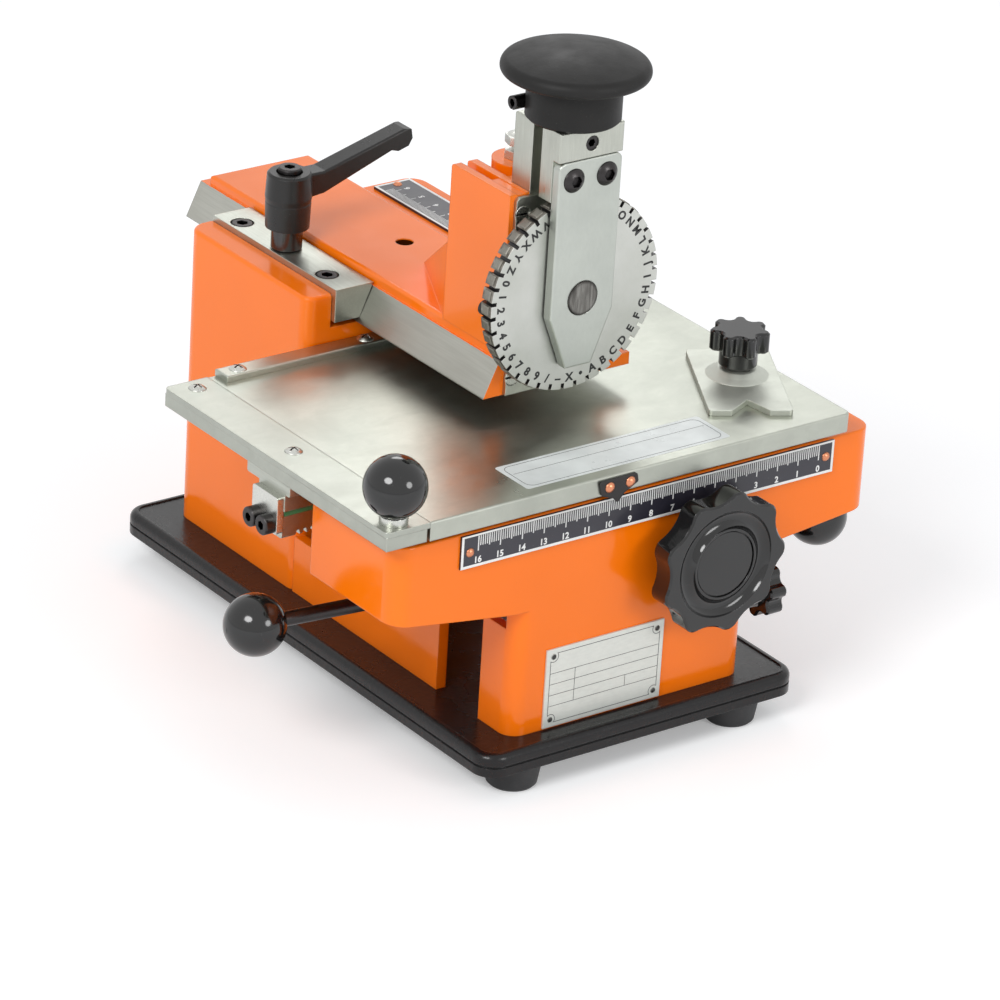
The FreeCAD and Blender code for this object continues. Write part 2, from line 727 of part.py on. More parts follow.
def gib_bar():
    g = SLIDE / math.cos(math.atan(DOVE_SLOPE))
    pts = [(GIB_X0, GIB_Z0), (dove_x(GIB_Z0) - g, GIB_Z0), (dove_x(GIB_TOP) - g - 0.35, GIB_TOP),
           (GIB_X0, GIB_TOP)]
    s = prism_xz(pts, GIB_Y0, GIB_Y1)
    cuts = []
    for y in GIB_SCREW_Y:
        cuts.append(cyl(GIB_SCREW_X, y, GIB_Z0 - 1, GIB_SCREW_R + CLEAR, 20))
        cuts.append(cyl(GIB_SCREW_X, y, GIB_TOP - GIB_HEAD_H, GIB_HEAD_R + LOOSE, 6))
    cuts.append(cyl(STUD_X, STUD_Y, GIB_Z0 - 1, STUD_R + CLEAR, 20))
    return s.cut(cuts)


def gib_screws():
    s = socket_screw(GIB_HEAD_R, GIB_HEAD_H, GIB_SCREW_R, 15.6, 2.4, 2.6)
    return group([place(s, GIB_SCREW_X, y, GIB_TOP) for y in GIB_SCREW_Y])


def clamp_stud():
    return cyl(STUD_X, STUD_Y, WAY_Z - 6.4, STUD_R, HUB_Z1 - 8 - WAY_Z + 6.4)


def clamp_collar():
    z0 = GIB_TOP + 0.1
    s = cyl(STUD_X, STUD_Y, z0, COLLAR_R, COLLAR_Z1 - z0)
    s = s.makeChamfer(0.7, [e for e in s.Edges if near(e.BoundBox.ZMax, z0)])
    return s.cut(cyl(STUD_X, STUD_Y, z0 - 1, STUD_R + RUN, 20))


def clamp_lever():
    hub = revolve_z([(0, COLLAR_Z1), (HUB_R, COLLAR_Z1), (HUB_R + 0.3, 63.6), (HUB_R_TOP - 0.3, 64.0),
                     (HUB_R_TOP, 66.0), (HUB_R_TOP - 0.5, HUB_Z1 - 0.8), (HUB_R_TOP - 1.3, HUB_Z1),
                     (0, HUB_Z1)], 0, 0)
    L = LEVER_LEN
    tip = LEVER_Z0 + LEVER_RISE
    lower = [(4, LEVER_Z0 - 1), (14, LEVER_Z0), (L - 8.2, tip), (L - 5.8, tip - 0.7), (L - 1.0, tip + 0.7),
             (L + 0.7, tip + 3.7)]
    upper = [(L, tip + 7.5), (L - 3.0, tip + 7.9), (14, LEVER_Z1), (4, LEVER_Z1)]
    arm = prism_xz(lower + upper, -LEVER_W / 2, LEVER_W / 2)
    long_edges = [e for e in arm.Edges if near(e.BoundBox.YMin, e.BoundBox.YMax)]
    arm = arm.makeFillet(1.1, [e for e in long_edges if e.Length > 6])
    s = fuse([hub, arm])
    s = s.cut([cyl(0, 0, COLLAR_Z1 - 1, STUD_R + RUN, HUB_Z1 - 7 - COLLAR_Z1),
               cyl(0, 0, HUB_Z1 - 3.4, 5.2, 5), cyl(0, 0, HUB_Z1 - 8.4, 2.1, 9)])
    s.translate(V(STUD_X, STUD_Y, 0))
    return s


def lever_screw():
    s = socket_screw(4.6, 5.4, 2.0, 4.6, 2.3, 3.0)
    return place(s, STUD_X, STUD_Y, HUB_Z1 + 2.0)


def arm_casting():
    section = [(DOVE_X_BOT, ARM_BOT), (FLANGE_X1, ARM_BOT), (FLANGE_X1, FLANGE_TOP),
               (FLANGE_NECK_X, FLANGE_TOP), (FLANGE_NECK_X, ARM_LIP_Z), (DOVE_X_TOP, ARM_LIP_Z)]
    slide = prism_xz(section, ARM_Y0, ARM_TAIL_Y1)
    top = box(ARM_LIP_X0, ARM_LIP_X1, ARM_Y0, ARM_Y1, ARM_LIP_Z - 1, ARM_TOP)
    lips = pick(top, lambda p: near(p.z, ARM_TOP) and p.y > ARM_Y0 + 0.1 or near(p.z, ARM_TOP) and (
        near(p.x, ARM_LIP_X0) or near(p.x, ARM_LIP_X1)))
    top = top.makeFillet(1.4, lips)
    parts = [slide, top]
    low = ARM_TOP - 1
    parts.append(box(HEAD_X0, HEAD_X1, ARM_Y0, HEAD_BLOCK_Y1, low, HEAD_TOP - 0.4))
    fins = [HEAD_X0, HEAD_X1 - FIN_T, ARM_XC - FIN_X - FIN_T / 2, ARM_XC + FIN_X - FIN_T / 2]
    for x0 in fins:
        fin = box(x0, x0 + FIN_T, ARM_Y0, HEAD_BACK, low, HEAD_TOP)
        parts.append(fin.makeFillet(1.6, pick(fin, lambda p: near(p.z, HEAD_TOP) and near(p.y, HEAD_BACK))))
    parts.append(cyl(ARM_XC, STOP_Y, low, BOSS_R, BOSS_TOP - low))
    parts.append(box(ARM_XC - 6, ARM_XC + 6, HEAD_BLOCK_Y1 - 1, STOP_Y, low, HEAD_TOP - 4))
    parts.append(box(HEAD_X0 + 1, HEAD_X1 - 1, HEAD_BLOCK_Y1 - 1, HEAD_BACK - 1.5, low, GUSSET_Z - 1))
    side = [(HEAD_BACK - 2, low), (GUSSET_Y, low), (GUSSET_Y, ARM_TOP), (HEAD_BACK - 2, GUSSET_Z)]
    plan = [(HEAD_X0, HEAD_BACK - 2), (HEAD_X0, HEAD_BACK), (ARM_XC, GUSSET_Y), (HEAD_X1, HEAD_BACK),
            (HEAD_X1, HEAD_BACK - 2)]
    parts.append(prism_yz(side, HEAD_X0, HEAD_X1).common(prism_xy(plan, low, GUSSET_Z)))
    s = fuse(parts)
    cuts = []
    g = SLIDE
    cuts.append(box(RAM_X0 - g, RAM_X1 + g, ARM_Y0 - 1, RAM_Y1 + g, SLOT_Z0, HEAD_TOP + 10))
    cuts.append(cyl(OIL_X, OIL_Y, ARM_TOP - 9, OIL_R, 12))
    cuts.append(cyl(OIL_X, OIL_Y, ARM_BOT - 1, OIL_CORE_R, 20))
    cuts.append(cyl(ARM_XC, STOP_Y, BOSS_TOP - 24, STOP_R, 30))
    for x, z in PLATE_SCREWS:
        cuts.append(cyl(x, ARM_Y0 - 1, z, PLATE_SCREW_R, 9, Y_AXIS))
    return s.cut(cuts)


def retainer_plate():
    s = box(PLATE_X0, PLATE_X1, PLATE_Y0, PLATE_Y0 + PLATE_T, ARM_BOT + 0.3, PLATE_Z1)
    corners = pick(s, lambda p: near(p.z, PLATE_Z1) and (near(p.x, PLATE_X0) or near(p.x, PLATE_X1)))
    s = s.makeFillet(2.0, corners)
    cuts = [box(NECK_X0 - LOOSE, NECK_X1 + LOOSE, PLATE_Y0 - 1, ARM_Y0 + 1, SLOT_Z0, PLATE_Z1 + 1)]
    for x, z in PLATE_SCREWS:
        cuts.append(cone(x, PLATE_Y0, z, PLATE_SCREW_R + 1.6, PLATE_SCREW_R, 1.7, Y_AXIS))
        cuts.append(cyl(x, PLATE_Y0 - 1, z, PLATE_SCREW_R, 5, Y_AXIS))
    return s.cut(cuts)


def retainer_screws():
    out = []
    for x, z in PLATE_SCREWS:
        s = cone(0, 0, -1.5, PLATE_SCREW_R, PLATE_SCREW_R + 1.4, 1.5)
        s = s.fuse(cyl(0, 0, -8.0, PLATE_SCREW_R, 6.5))
        s = s.removeSplitter().cut(box(-3.5, 3.5, -0.4, 0.4, -0.7, 1))
        out.append(place(s, x, PLATE_Y0 + 0.02, z, FRONT))
    return group(out)


def press_ram():
    ram = box(RAM_X0, RAM_X1, RAM_Y0, RAM_Y1, RAM_Z0, RAM_TOP)
    ram = ram.makeChamfer(0.5, pick(ram, lambda p: near(p.z, RAM_TOP)))
    neck = box(NECK_X0, NECK_X1, BLOCK_Y1 - 1, RAM_Y0 + 1, RAM_Z0, RAM_TOP)
    axle_boss = cyl(ARM_XC, WHEEL_Y1 + CLEAR, WHEEL_Z, (NECK_X1 - NECK_X0) / 2 - LOOSE, 4, Y_AXIS)
    block = box(BLOCK_X0, BLOCK_X1, BLOCK_Y0, BLOCK_Y1, BLOCK_Z0, RAM_TOP)
    block = block.makeChamfer(0.5, pick(block, lambda p: near(p.y, BLOCK_Y0)))
    block = block.cut(box(BLOCK_X0 - 1, BLOCK_X1 + 1, BLOCK_Y0 - 1, BLOCK_Y0 + COVER_T, BLOCK_Z0 - 1,
                          BLOCK_STEP_Z))
    s = fuse([ram, neck, block, axle_boss])
    s = s.cut(box(NECK_X0 - 1, NECK_X1 + 1, BLOCK_Y1 - 2, WHEEL_Y1 + CLEAR, RAM_Z0 - 1, BLOCK_Z0))
    cuts = [cyl(ARM_XC, WHEEL_Y1, WHEEL_Z, AXLE_TAIL_R, 8, Y_AXIS)]
    cuts.append(cyl(ARM_XC, BLOCK_Y0 - 1, SET_SCREW_Z, SET_SCREW_R, 9.5, Y_AXIS))
    for x, z in COVER_SCREWS:
        cuts.append(cyl(x, BLOCK_Y0, z, COVER_SCREW_R, 10, Y_AXIS))
    cuts.append(cyl(ARM_XC, (RAM_Y0 + RAM_Y1) / 2, RAM_Z0 - 1, SPRING_BORE_R, SPRING_BORE_D + 1))
    cuts.append(cyl(ARM_XC, PALM_Y, RAM_TOP - 16, PALM_STUD_R, 20))
    return s.cut(cuts)


def return_spring():
    """Die spring of square wire between the arm and the end of the bore in the ram."""
    z0 = SLOT_Z0 + SPRING_WIRE / 2 + RUN
    z1 = RAM_Z0 + SPRING_BORE_D - SPRING_WIRE / 2 - RUN
    path = Part.makeHelix((z1 - z0) / SPRING_TURNS, z1 - z0, SPRING_R)
    w = SPRING_WIRE / 2
    square = Part.makePolygon([V(SPRING_R + a * w, 0, b * w) for a, b in
                               ((-1, -1), (1, -1), (1, 1), (-1, 1), (-1, -1))])
    shell = Part.BRepOffsetAPI.MakePipeShell(path)
    shell.setBiNormalMode(Z_AXIS)
    shell.add(square)
    shell.build()
    shell.makeSolid()
    s = shell.shape()
    s.translate(V(ARM_XC, (RAM_Y0 + RAM_Y1) / 2, z0))
    return s


def palm_handle():
    """Mushroom head: neck, hollow under the rim, rounded rim and a low dome, all tangent arcs."""
    rise = PALM_TOP - PALM_RIM_Z
    edge_r = (2 * PALM_DOME_R * rise - rise ** 2 - PALM_R ** 2) / (2 * (PALM_DOME_R - PALM_R))
    turn = math.atan2(PALM_RIM_Z - PALM_TOP + PALM_DOME_R, PALM_R - edge_r)

    def dome(angle):
        return PALM_DOME_R * math.cos(angle), PALM_TOP - PALM_DOME_R + PALM_DOME_R * math.sin(angle)

    def rim(radius, angle):
        return PALM_R - radius + radius * math.cos(angle), PALM_RIM_Z + radius * math.sin(angle)

    down = PALM_UNDER - math.pi / 2
    under1 = rim(PALM_LIP, down)
    under0 = (PALM_NECK_R + PALM_LIP, under1[1] - (under1[0] - PALM_NECK_R - PALM_LIP) * math.tan(PALM_UNDER))
    neck1 = (PALM_NECK_R, under0[1] - PALM_LIP)
    bend = (PALM_NECK_R + 0.3 * PALM_LIP, under0[1] - 0.3 * PALM_LIP)
    foot = (PALM_NECK_R - 0.9, PALM_Z0)
    neck0 = (PALM_NECK_R, PALM_Z0 + 0.9)
    edges = [profile_line((0, PALM_Z0), foot), profile_line(foot, neck0), profile_line(neck0, neck1)]
    edges += [profile_arc(neck1, bend, under0), profile_line(under0, under1)]
    edges += [profile_arc(under1, rim(PALM_LIP, down / 2), rim(PALM_LIP, 0))]
    edges += [profile_arc(rim(edge_r, 0), rim(edge_r, turn / 2), dome(turn))]
    edges += [profile_arc(dome(turn), dome((turn + math.pi / 2) / 2), (0, PALM_TOP))]
    edges += [profile_line((0, PALM_TOP), (0, PALM_Z0))]
    s = turn_profile(edges, ARM_XC, PALM_Y)
    return s.cut([cyl(ARM_XC, PALM_Y, PALM_Z0 - 1, PALM_STUD_R, 15),
                  cyl(ARM_XC - 30, PIN_Y, PIN_Z, PIN_R, 22, X_AXIS)])


def palm_stud():
    return cyl(ARM_XC, PALM_Y, RAM_TOP - 15, PALM_STUD_R, 28)


def cross_pin():
    x1 = ARM_XC - 8
    s = cyl(PIN_X0, PIN_Y, PIN_Z, PIN_R, x1 - PIN_X0, X_AXIS)
    s = s.cut(cyl(PIN_X0 - 1, PIN_Y, PIN_Z, 1.5, 30, X_AXIS))
    return s.cut(box(PIN_X0 - 1, x1 + 1, PIN_Y - 0.4, PIN_Y + 0.4, PIN_Z - PIN_R - 1, PIN_Z))


def block_set_screw():
    s = cyl(0, 0, -7.6, SET_SCREW_R - RUN, 7.6).cut(prism_xy(ring_points(1.6, 6), -3.0, 1))
    return place(s, ARM_XC, BLOCK_Y0 + 0.5, SET_SCREW_Z, FRONT)


def cover_plate():
    hw = (BLOCK_X1 - BLOCK_X0) / 2 - 0.3
    t = COVER_TIP_W / 2
    z1 = BLOCK_STEP_Z - 0.3
    pts = [(-hw, z1), (-hw, COVER_TAPER_Z), (-t, COVER_BOT), (t, COVER_BOT), (hw, COVER_TAPER_Z), (hw, z1)]
    y0 = BLOCK_Y0 - COVER_PROUD
    s = prism_xz([(ARM_XC + x, z) for x, z in pts], y0, BLOCK_Y0 + COVER_T - 0.02)
    s = s.makeFillet(3.0, pick(s, lambda p: near(p.z, z1) and near(abs(p.x - ARM_XC), hw)))
    s = s.makeFillet(0.7, pick(s, lambda p: near(p.y, y0)))
    cuts = [cyl(ARM_XC, y0 - 1, WHEEL_Z, AXLE_R, 8, Y_AXIS)]
    for x, z in COVER_SCREWS:
        cuts.append(cyl(x, y0 - 1, z, COVER_SCREW_R + CLEAR, 8, Y_AXIS))
    return s.cut(cuts)


def cover_screws():
    s = rivet(COVER_HEAD_R, COVER_HEAD_H, COVER_SCREW_R, 9.0)
    s = s.cut(prism_xy(ring_points(2.4, 6), COVER_HEAD_H - 1.6, COVER_HEAD_H + 1))
    y = BLOCK_Y0 - COVER_PROUD - RUN
    return group([place(s, x, y, z, FRONT) for x, z in COVER_SCREWS])


def wheel_axle():
    y0 = BLOCK_Y0 - 0.6
    head = cyl(ARM_XC, y0, WHEEL_Z, AXLE_R - RUN, BLOCK_Y0 + COVER_T - y0, Y_AXIS)
    head = head.makeChamfer(0.5, [e for e in head.Edges if near(e.BoundBox.YMax, y0)])
    mid = cyl(ARM_XC, y0 + 2, WHEEL_Z, AXLE_MID_R, WHEEL_Y1 + CLEAR - RUN - y0 - 2, Y_AXIS)
    tail = cyl(ARM_XC, WHEEL_Y1 - 1, WHEEL_Z, AXLE_TAIL_R, 6.4, Y_AXIS)
    return fuse([head, mid, tail])


def char_wheel():
    s = cyl(ARM_XC, WHEEL_Y0, WHEEL_Z, WHEEL_R, WHEEL_Y1 - WHEEL_Y0, Y_AXIS)
    cuts = [cyl(ARM_XC, WHEEL_Y0 - 1, WHEEL_Z, AXLE_MID_R + RUN, 9, Y_AXIS)]
    for i in range(WHEEL_N):
        a = 360.0 / WHEEL_N * (i + 0.5)
        c = box(WHEEL_R - WHEEL_SLOT_D, WHEEL_R + 1, WHEEL_Y0 - 1, WHEEL_Y1 + 1, -WHEEL_SLOT_W / 2,
                WHEEL_SLOT_W / 2)
        c.rotate(V(0, 0, 0), Y_AXIS, a)
        c.translate(V(ARM_XC, 0, WHEEL_Z))
        cuts.append(c)
    cuts.append(cyl(ARM_XC, WHEEL_Y1 - WHEEL_DISH, WHEEL_Z, WHEEL_R - WHEEL_RIM_W, 2, Y_AXIS).cut(
        cyl(ARM_XC, WHEEL_Y1 - 2, WHEEL_Z, WHEEL_HUB_R, 6, Y_AXIS)))
    return s.cut(cuts)


def type_faces():
    """Raised type pads, one on each rim block."""
    out = []
    yc = (WHEEL_Y0 + WHEEL_Y1) / 2
    for i in range(WHEEL_N):
        a = 360.0 / WHEEL_N * i
        h = TYPE_H
        half = TYPE_W / 2
        pad = box(WHEEL_R - 0.15, WHEEL_R + h, yc - half, yc + half, -half, half)
        pad = pad.makeChamfer(0.3, [e for e in pad.Edges if near(e.BoundBox.XMin, WHEEL_R + h)])
        pad.rotate(V(0, 0, 0), Y_AXIS, a)
        pad.translate(V(ARM_XC, 0, WHEEL_Z))
        out.append(pad)
    wheel_core = cyl(ARM_XC, WHEEL_Y0 - 1, WHEEL_Z, WHEEL_R, 9, Y_AXIS)
    return group([p.cut(wheel_core) for p in out])


def detent_spring():
    """Leaf behind the wheel with a round head that clicks at the rim."""
    x_head = ARM_XC - WHEEL_R + DETENT_LAP
    leaf = box(x_head, NECK_X0, DETENT_Y0, DETENT_Y0 + DETENT_T, DETENT_Z - 2.6, DETENT_Z + 2.6)
    head = cyl(x_head, DETENT_Y0, DETENT_Z, DETENT_R, DETENT_T + 0.8, Y_AXIS)
    return fuse([leaf, head])


def hexagon(turn):
    """Corners of the stop screw's head or nut."""
    return [(ARM_XC + x, STOP_Y + y) for x, y in ring_points(HEX_R, 6, turn)]


def stop_screw():
    shank = cyl(ARM_XC, STOP_Y, BOSS_TOP - 20, STOP_R, STOP_HEAD_Z - BOSS_TOP + 19)
    head = prism_xy(hexagon(15), STOP_HEAD_Z - STOP_HEAD_H, STOP_HEAD_Z)
    dome = rivet(HEX_R * 0.84, 1.2, STOP_R, 1.0)
    dome.translate(V(ARM_XC, STOP_Y, STOP_HEAD_Z))
    return fuse([shank, head, dome])


def stop_nut():
    nut = prism_xy(hexagon(40), BOSS_TOP, BOSS_TOP + NUT_H)
    return nut.cut(cyl(ARM_XC, STOP_Y, BOSS_TOP - 1, STOP_R, 9))


def table_plate():
    s = box(TAB_X0, TAB_X1, TAB_Y0, TAB_Y1, TAB_TOP - TAB_T, TAB_TOP)
    lip = box(TAB_X0, TAB_X1, TAB_Y0, TAB_Y0 + TAB_LIP_T, TAB_LIP_Z, TAB_TOP)
    s = fuse([s, lip])
    s = s.makeFillet(3.0, upright(s, [(TAB_X1, TAB_Y0)]) + upright(s, [(TAB_X1, TAB_Y1)]))
    s = s.makeFillet(0.8, pick(s, lambda p: near(p.z, TAB_TOP) and p.y < TAB_Y0 + 3.1))
    bar_y = box(TAB_X0 + 2, TAB_X1 - 3, RUNNER_Y0, RUNNER_Y1, BEAM_TOP + WAY_GAP, TAB_TOP - 1)
    pad = box(TAB_X0 + 6, TAB_X1 - 6, RAIL_Y0 + 3, RAIL_Y1 - 3, TAB_LIP_Z, TAB_TOP - 1)
    bar_r = box(TAB_X1 - 9, TAB_X1 - 0.5, 9, TAB_Y1 - 4, TAB_LIP_Z, TAB_TOP - 1)
    s = fuse([s, bar_y, pad, bar_r])
    cuts = []
    for x, y in FENCE_SCREWS:
        cuts.append(cyl(x, y, TAB_LIP_Z, TAB_SCREW_R, 12))
    cuts.append(cyl(CLAMP_KX, CLAMP_KY, TAB_LIP_Z - 1, CLAMP_BOLT_R, 12))
    for x, z in POINTER_RIVETS:
        cuts.append(cyl(x, TAB_Y0 - 1, z, POINTER_RIVET_R, 5, Y_AXIS))
    return s.cut(cuts)


def table_strip():
    s = box(STRIP_X0, TAB_X0 - 0.05, TAB_Y0, TAB_Y1, TAB_TOP - TAB_T, TAB_TOP)
    s = s.makeFillet(2.0, upright(s, [(STRIP_X0, TAB_Y0), (STRIP_X0, TAB_Y1)]))
    bar = box(STRIP_X0 + 0.4, TAB_X0 - 1.2, TAB_Y0 + 0.3, TAB_Y1 - 0.3, TAB_LIP_Z, TAB_TOP - TAB_T)
    s = fuse([s, bar])
    cuts = [cyl(x, y, TAB_LIP_Z - 1, TAB_SCREW_R, 12) for x, y in STRIP_SCREWS]
    cuts.append(cyl(KNOB_X, KNOB_Y, TAB_LIP_Z - 1, KNOB_STEM_R, 12))
    return s.cut(cuts)


def table_screws():
    s = pan_screw(3.5, 1.5, TAB_SCREW_R, 6.5)
    out = [place(s, x, y, TAB_TOP) for x, y in STRIP_SCREWS]
    out += [place(s, x, y, TAB_TOP + FENCE_H) for x, y in FENCE_SCREWS]
    return group(out)


def fence_bar():
    s = box(TAB_X0 + 3.4, TAB_X1 - 3, FENCE_Y0, TAB_Y1, TAB_TOP, TAB_TOP + FENCE_H)
    s = s.makeFillet(0.6, pick(s, lambda p: near(p.z, TAB_TOP + FENCE_H)))
    return s.cut([cyl(x, y, TAB_TOP - 1, TAB_SCREW_R, 6) for x, y in FENCE_SCREWS])


def table_knob():
    ball = ball_knob(KNOB_STEM_R, BALL_R, BALL_FLAT)
    ball.translate(V(KNOB_X, KNOB_Y, TAB_TOP + BALL_GAP + BALL_R))
    return ball


def table_knob_stem():
    top = TAB_TOP + BALL_GAP + BALL_FLAT
    return fuse([cyl(KNOB_X, KNOB_Y, TAB_LIP_Z + 1, KNOB_STEM_R, top + BALL_R - TAB_LIP_Z - 1),
                 cyl(KNOB_X, KNOB_Y, TAB_TOP, 5.4, top - TAB_TOP)])


def pointer():
    pts = [(-108.6, 18.0), (-91.0, 18.2), (-90.2, 14.6), (-96.6, 11.2), (-99.6, 7.6), (-101.2, 9.8),
           (-107.2, 12.2)]
    s = prism_xz(pts, TAB_Y0 - POINTER_T, TAB_Y0)
    s = s.makeFillet(1.0, [e for e in s.Edges if near(e.Length, POINTER_T)])
    return s.cut([cyl(x, TAB_Y0 - 2, z, POINTER_RIVET_R, 4, Y_AXIS) for x, z in POINTER_RIVETS])


def pointer_rivets():
    r = rivet(2.2, 1.3, POINTER_RIVET_R, 2.8)
    return group([place(r, x, TAB_Y0 - POINTER_T, z, FRONT) for x, z in POINTER_RIVETS])


def table_rail():
    plate = box(RAIL_X0, RAIL_X1, RAIL_Y0, RAIL_Y1, RAIL_Z0, TAB_LIP_Z)
    block = box(RAIL_X0, RAIL_X1, RAIL_BLOCK_Y0, RAIL_BLOCK_Y1, RAIL_BLOCK_Z0, RAIL_Z0 + 1)
    s = fuse([plate, block])
    edges = pick(s, lambda p: near(p.z, RAIL_Z0) and (near(p.y, RAIL_Y0) or near(p.y, RAIL_Y1)))
    s = s.makeChamfer(0.5, edges)
    return s


def rail_liner():
    return box(RAIL_X0 + 0.5, RAIL_X1 - 0.5, RAIL_BLOCK_Y0 + 0.6, RAIL_BLOCK_Y1 - 0.6, LINER_Z0,
               RAIL_BLOCK_Z0)


def rack_bar():
    """Toothed bar under the liner, teeth down, on the pitch line of the pinion."""
    s = box(RAIL_X0, RAIL_X1, RACK_Y0, RACK_Y1, RACK_BOT, LINER_Z0)
    s = s.makeChamfer(0.5, [e for e in s.Edges if near(e.BoundBox.ZMax, RACK_BOT) and e.Length > 50])
    cuts = []
    for y in RACK_SCREW_Y:
        cuts.append(cyl(RAIL_X0 - 1, y, RACK_SCREW_Z, RACK_SCREW_R, 8, X_AXIS))
        cuts.append(cyl(RAIL_X1 + 1, y, RACK_SCREW_Z, RACK_SCREW_R, 8, LEFT))
    pitch = math.pi * GEAR_MODULE
    half = int((HW_X - RAIL_X0 - 6) / pitch)
    for i in range(-half, int((RAIL_X1 - HW_X - 6) / pitch)):
        x = HW_X + i * pitch
        gap = [(x - 1.3, RACK_BOT - 0.5), (x + 1.3, RACK_BOT - 0.5), (x + 0.45, RACK_BOT + GEAR_DEPTH),
               (x - 0.45, RACK_BOT + GEAR_DEPTH)]
        cuts.append(prism_xz(gap, RACK_Y0 - 1, RACK_Y1 + 1))
    return s.cut(cuts)


def rack_plates():
    out = []
    for x in (RAIL_X0 - RACK_T, RAIL_X1):
        s = box(x, x + RACK_T, RAIL_BLOCK_Y0 + 0.3, RAIL_BLOCK_Y1 - 0.3, RACK_PLATE_Z0, RACK_PLATE_Z1)
        s = s.makeFillet(1.2, pick(s, lambda p: near(abs(p.y - (RAIL_BLOCK_Y0 + RAIL_BLOCK_Y1) / 2),
                                                      (RAIL_BLOCK_Y1 - RAIL_BLOCK_Y0) / 2 - 0.3)
                                   and (near(p.z, RACK_PLATE_Z0) or near(p.z, RACK_PLATE_Z1))))
        out.append(s.cut([cyl(x - 1, y, RACK_SCREW_Z, RACK_SCREW_R, 6, X_AXIS) for y in RACK_SCREW_Y]))
    return group(out)


def rack_screws():
    head_h = 4.2
    s = socket_screw(3.9, head_h, RACK_SCREW_R, RACK_T + 6.0, 1.9, 2.4)
    out = []
    for y in RACK_SCREW_Y:
        out.append(place(s, RAIL_X0 - RACK_T - head_h, y, RACK_SCREW_Z, LEFT))
        out.append(place(s, RAIL_X1 + RACK_T + head_h, y, RACK_SCREW_Z, X_AXIS))
    return group(out)


def rail_bed():
    s = box(BED_X0, BED_X1, BEAM_Y1, BED_Y1, BED_Z0, RAIL_Z0 - RUN)
    s = s.cut(box(BED_X0 - 1, BED_X1 + 1, RAIL_BLOCK_Y0 - SLIDE, RAIL_BLOCK_Y1 + SLIDE, BED_Z0 + 3.4,
                  RAIL_Z0 + 1))
    cuts = [box(HW_X - GEAR_PITCH_R - 3, HW_X + GEAR_PITCH_R + 3, RAIL_BLOCK_Y0 - SLIDE,
                RAIL_BLOCK_Y1 + SLIDE, BED_Z0 - 1, BED_Z0 + 4)]
    cuts.append(cyl(LEV_X, BEAM_Y1 - 1, PLUNGER_Z, PLUNGER_R + RUN, 12, Y_AXIS))
    for x, z in BED_SCREWS:
        cuts.append(cyl(x, BEAM_Y1 - 1, z, BED_SCREW_R, 12, Y_AXIS))
        cuts.append(cyl(x, RAIL_BLOCK_Y0 - 4.6, z, 4.6, 6, Y_AXIS))
        cuts.append(cyl(x, RAIL_BLOCK_Y1 - 1, z, 5.0, 12, Y_AXIS))
    return s.cut(cuts)


def bed_screws():
    s = socket_screw(4.3, 3.8, BED_SCREW_R - RUN, 10.5, 2.2, 2.2)
    return group([place(s, x, RAIL_BLOCK_Y0 - 0.4, z, Y_AXIS) for x, z in BED_SCREWS])


def hw_shaft():
    y0 = HW_FRONT + HW_RIM_T - SHAFT_IN
    s = cyl(HW_X, y0, HW_Z, SHAFT_R, GEAR_Y1 + 3 - y0, Y_AXIS)
    return s.makeChamfer(0.6, [e for e in s.Edges if e.Length > 5 and len(e.Vertexes) == 1])


def shaft_bushes():
    """Flanged bush at the front of the beam and a plain one at its back."""
    front = cyl(HW_X, 0, HW_Z, BUSH_R, 14, Y_AXIS).fuse(
        cyl(HW_X, -BUSH_FLANGE, HW_Z, BUSH_R + 2.5, BUSH_FLANGE, Y_AXIS)).removeSplitter()
    back = cyl(HW_X, BEAM_Y1 - 12, HW_Z, BUSH_R, 12, Y_AXIS)
    bore = cyl(HW_X, -BUSH_FLANGE - 1, HW_Z, SHAFT_R + RUN, BEAM_Y1 + 5, Y_AXIS)
    return group([front.cut(bore), back.cut(bore)])


def handwheel():
    """Lobed wheel with a rounded ring channel and a flat cap set into the middle."""
    t = HW_RIM_T
    wire = lobed_wire(HW_R, HW_R - HW_LOBE_D, HW_LOBES, 0, HW_HOLLOW)
    rim = Part.Face(wire).extrude(V(0, 0, t))
    rim = rim.makeChamfer(HW_EDGE, flat_edges(rim))
    ring_r = HW_R - 8.0
    cap_r = HW_R - 16.0
    half = HW_CHANNEL_W / 2
    lift = (half ** 2 - HW_CHANNEL_D ** 2) / (2 * HW_CHANNEL_D)
    channel = Part.makeTorus(ring_r + 0.8 - half, HW_CHANNEL_D + lift, V(0, 0, t + lift))
    gap = cyl(0, 0, t - 1.2, cap_r + 0.5, 3).cut(cyl(0, 0, t - 2, cap_r, 5))
    low = cyl(0, 0, t - 0.4, cap_r + 0.1, 3)
    back = revolve_z([(HW_HUB_R + 1, -1), (ring_r, -1), (ring_r - 1.5, 4.6), (HW_HUB_R + 2, 4.6)], 0, 0)
    hub = cyl(0, 0, -HW_HUB_L, HW_HUB_R, HW_HUB_L + 1)
    s = fuse([rim.cut([channel, gap, low, back]), hub])
    s = s.cut(cyl(0, 0, -HW_HUB_L - 1, SHAFT_R, HW_HUB_L + 1 + SHAFT_IN))
    return place(s, HW_X, HW_FRONT + t, HW_Z, FRONT)


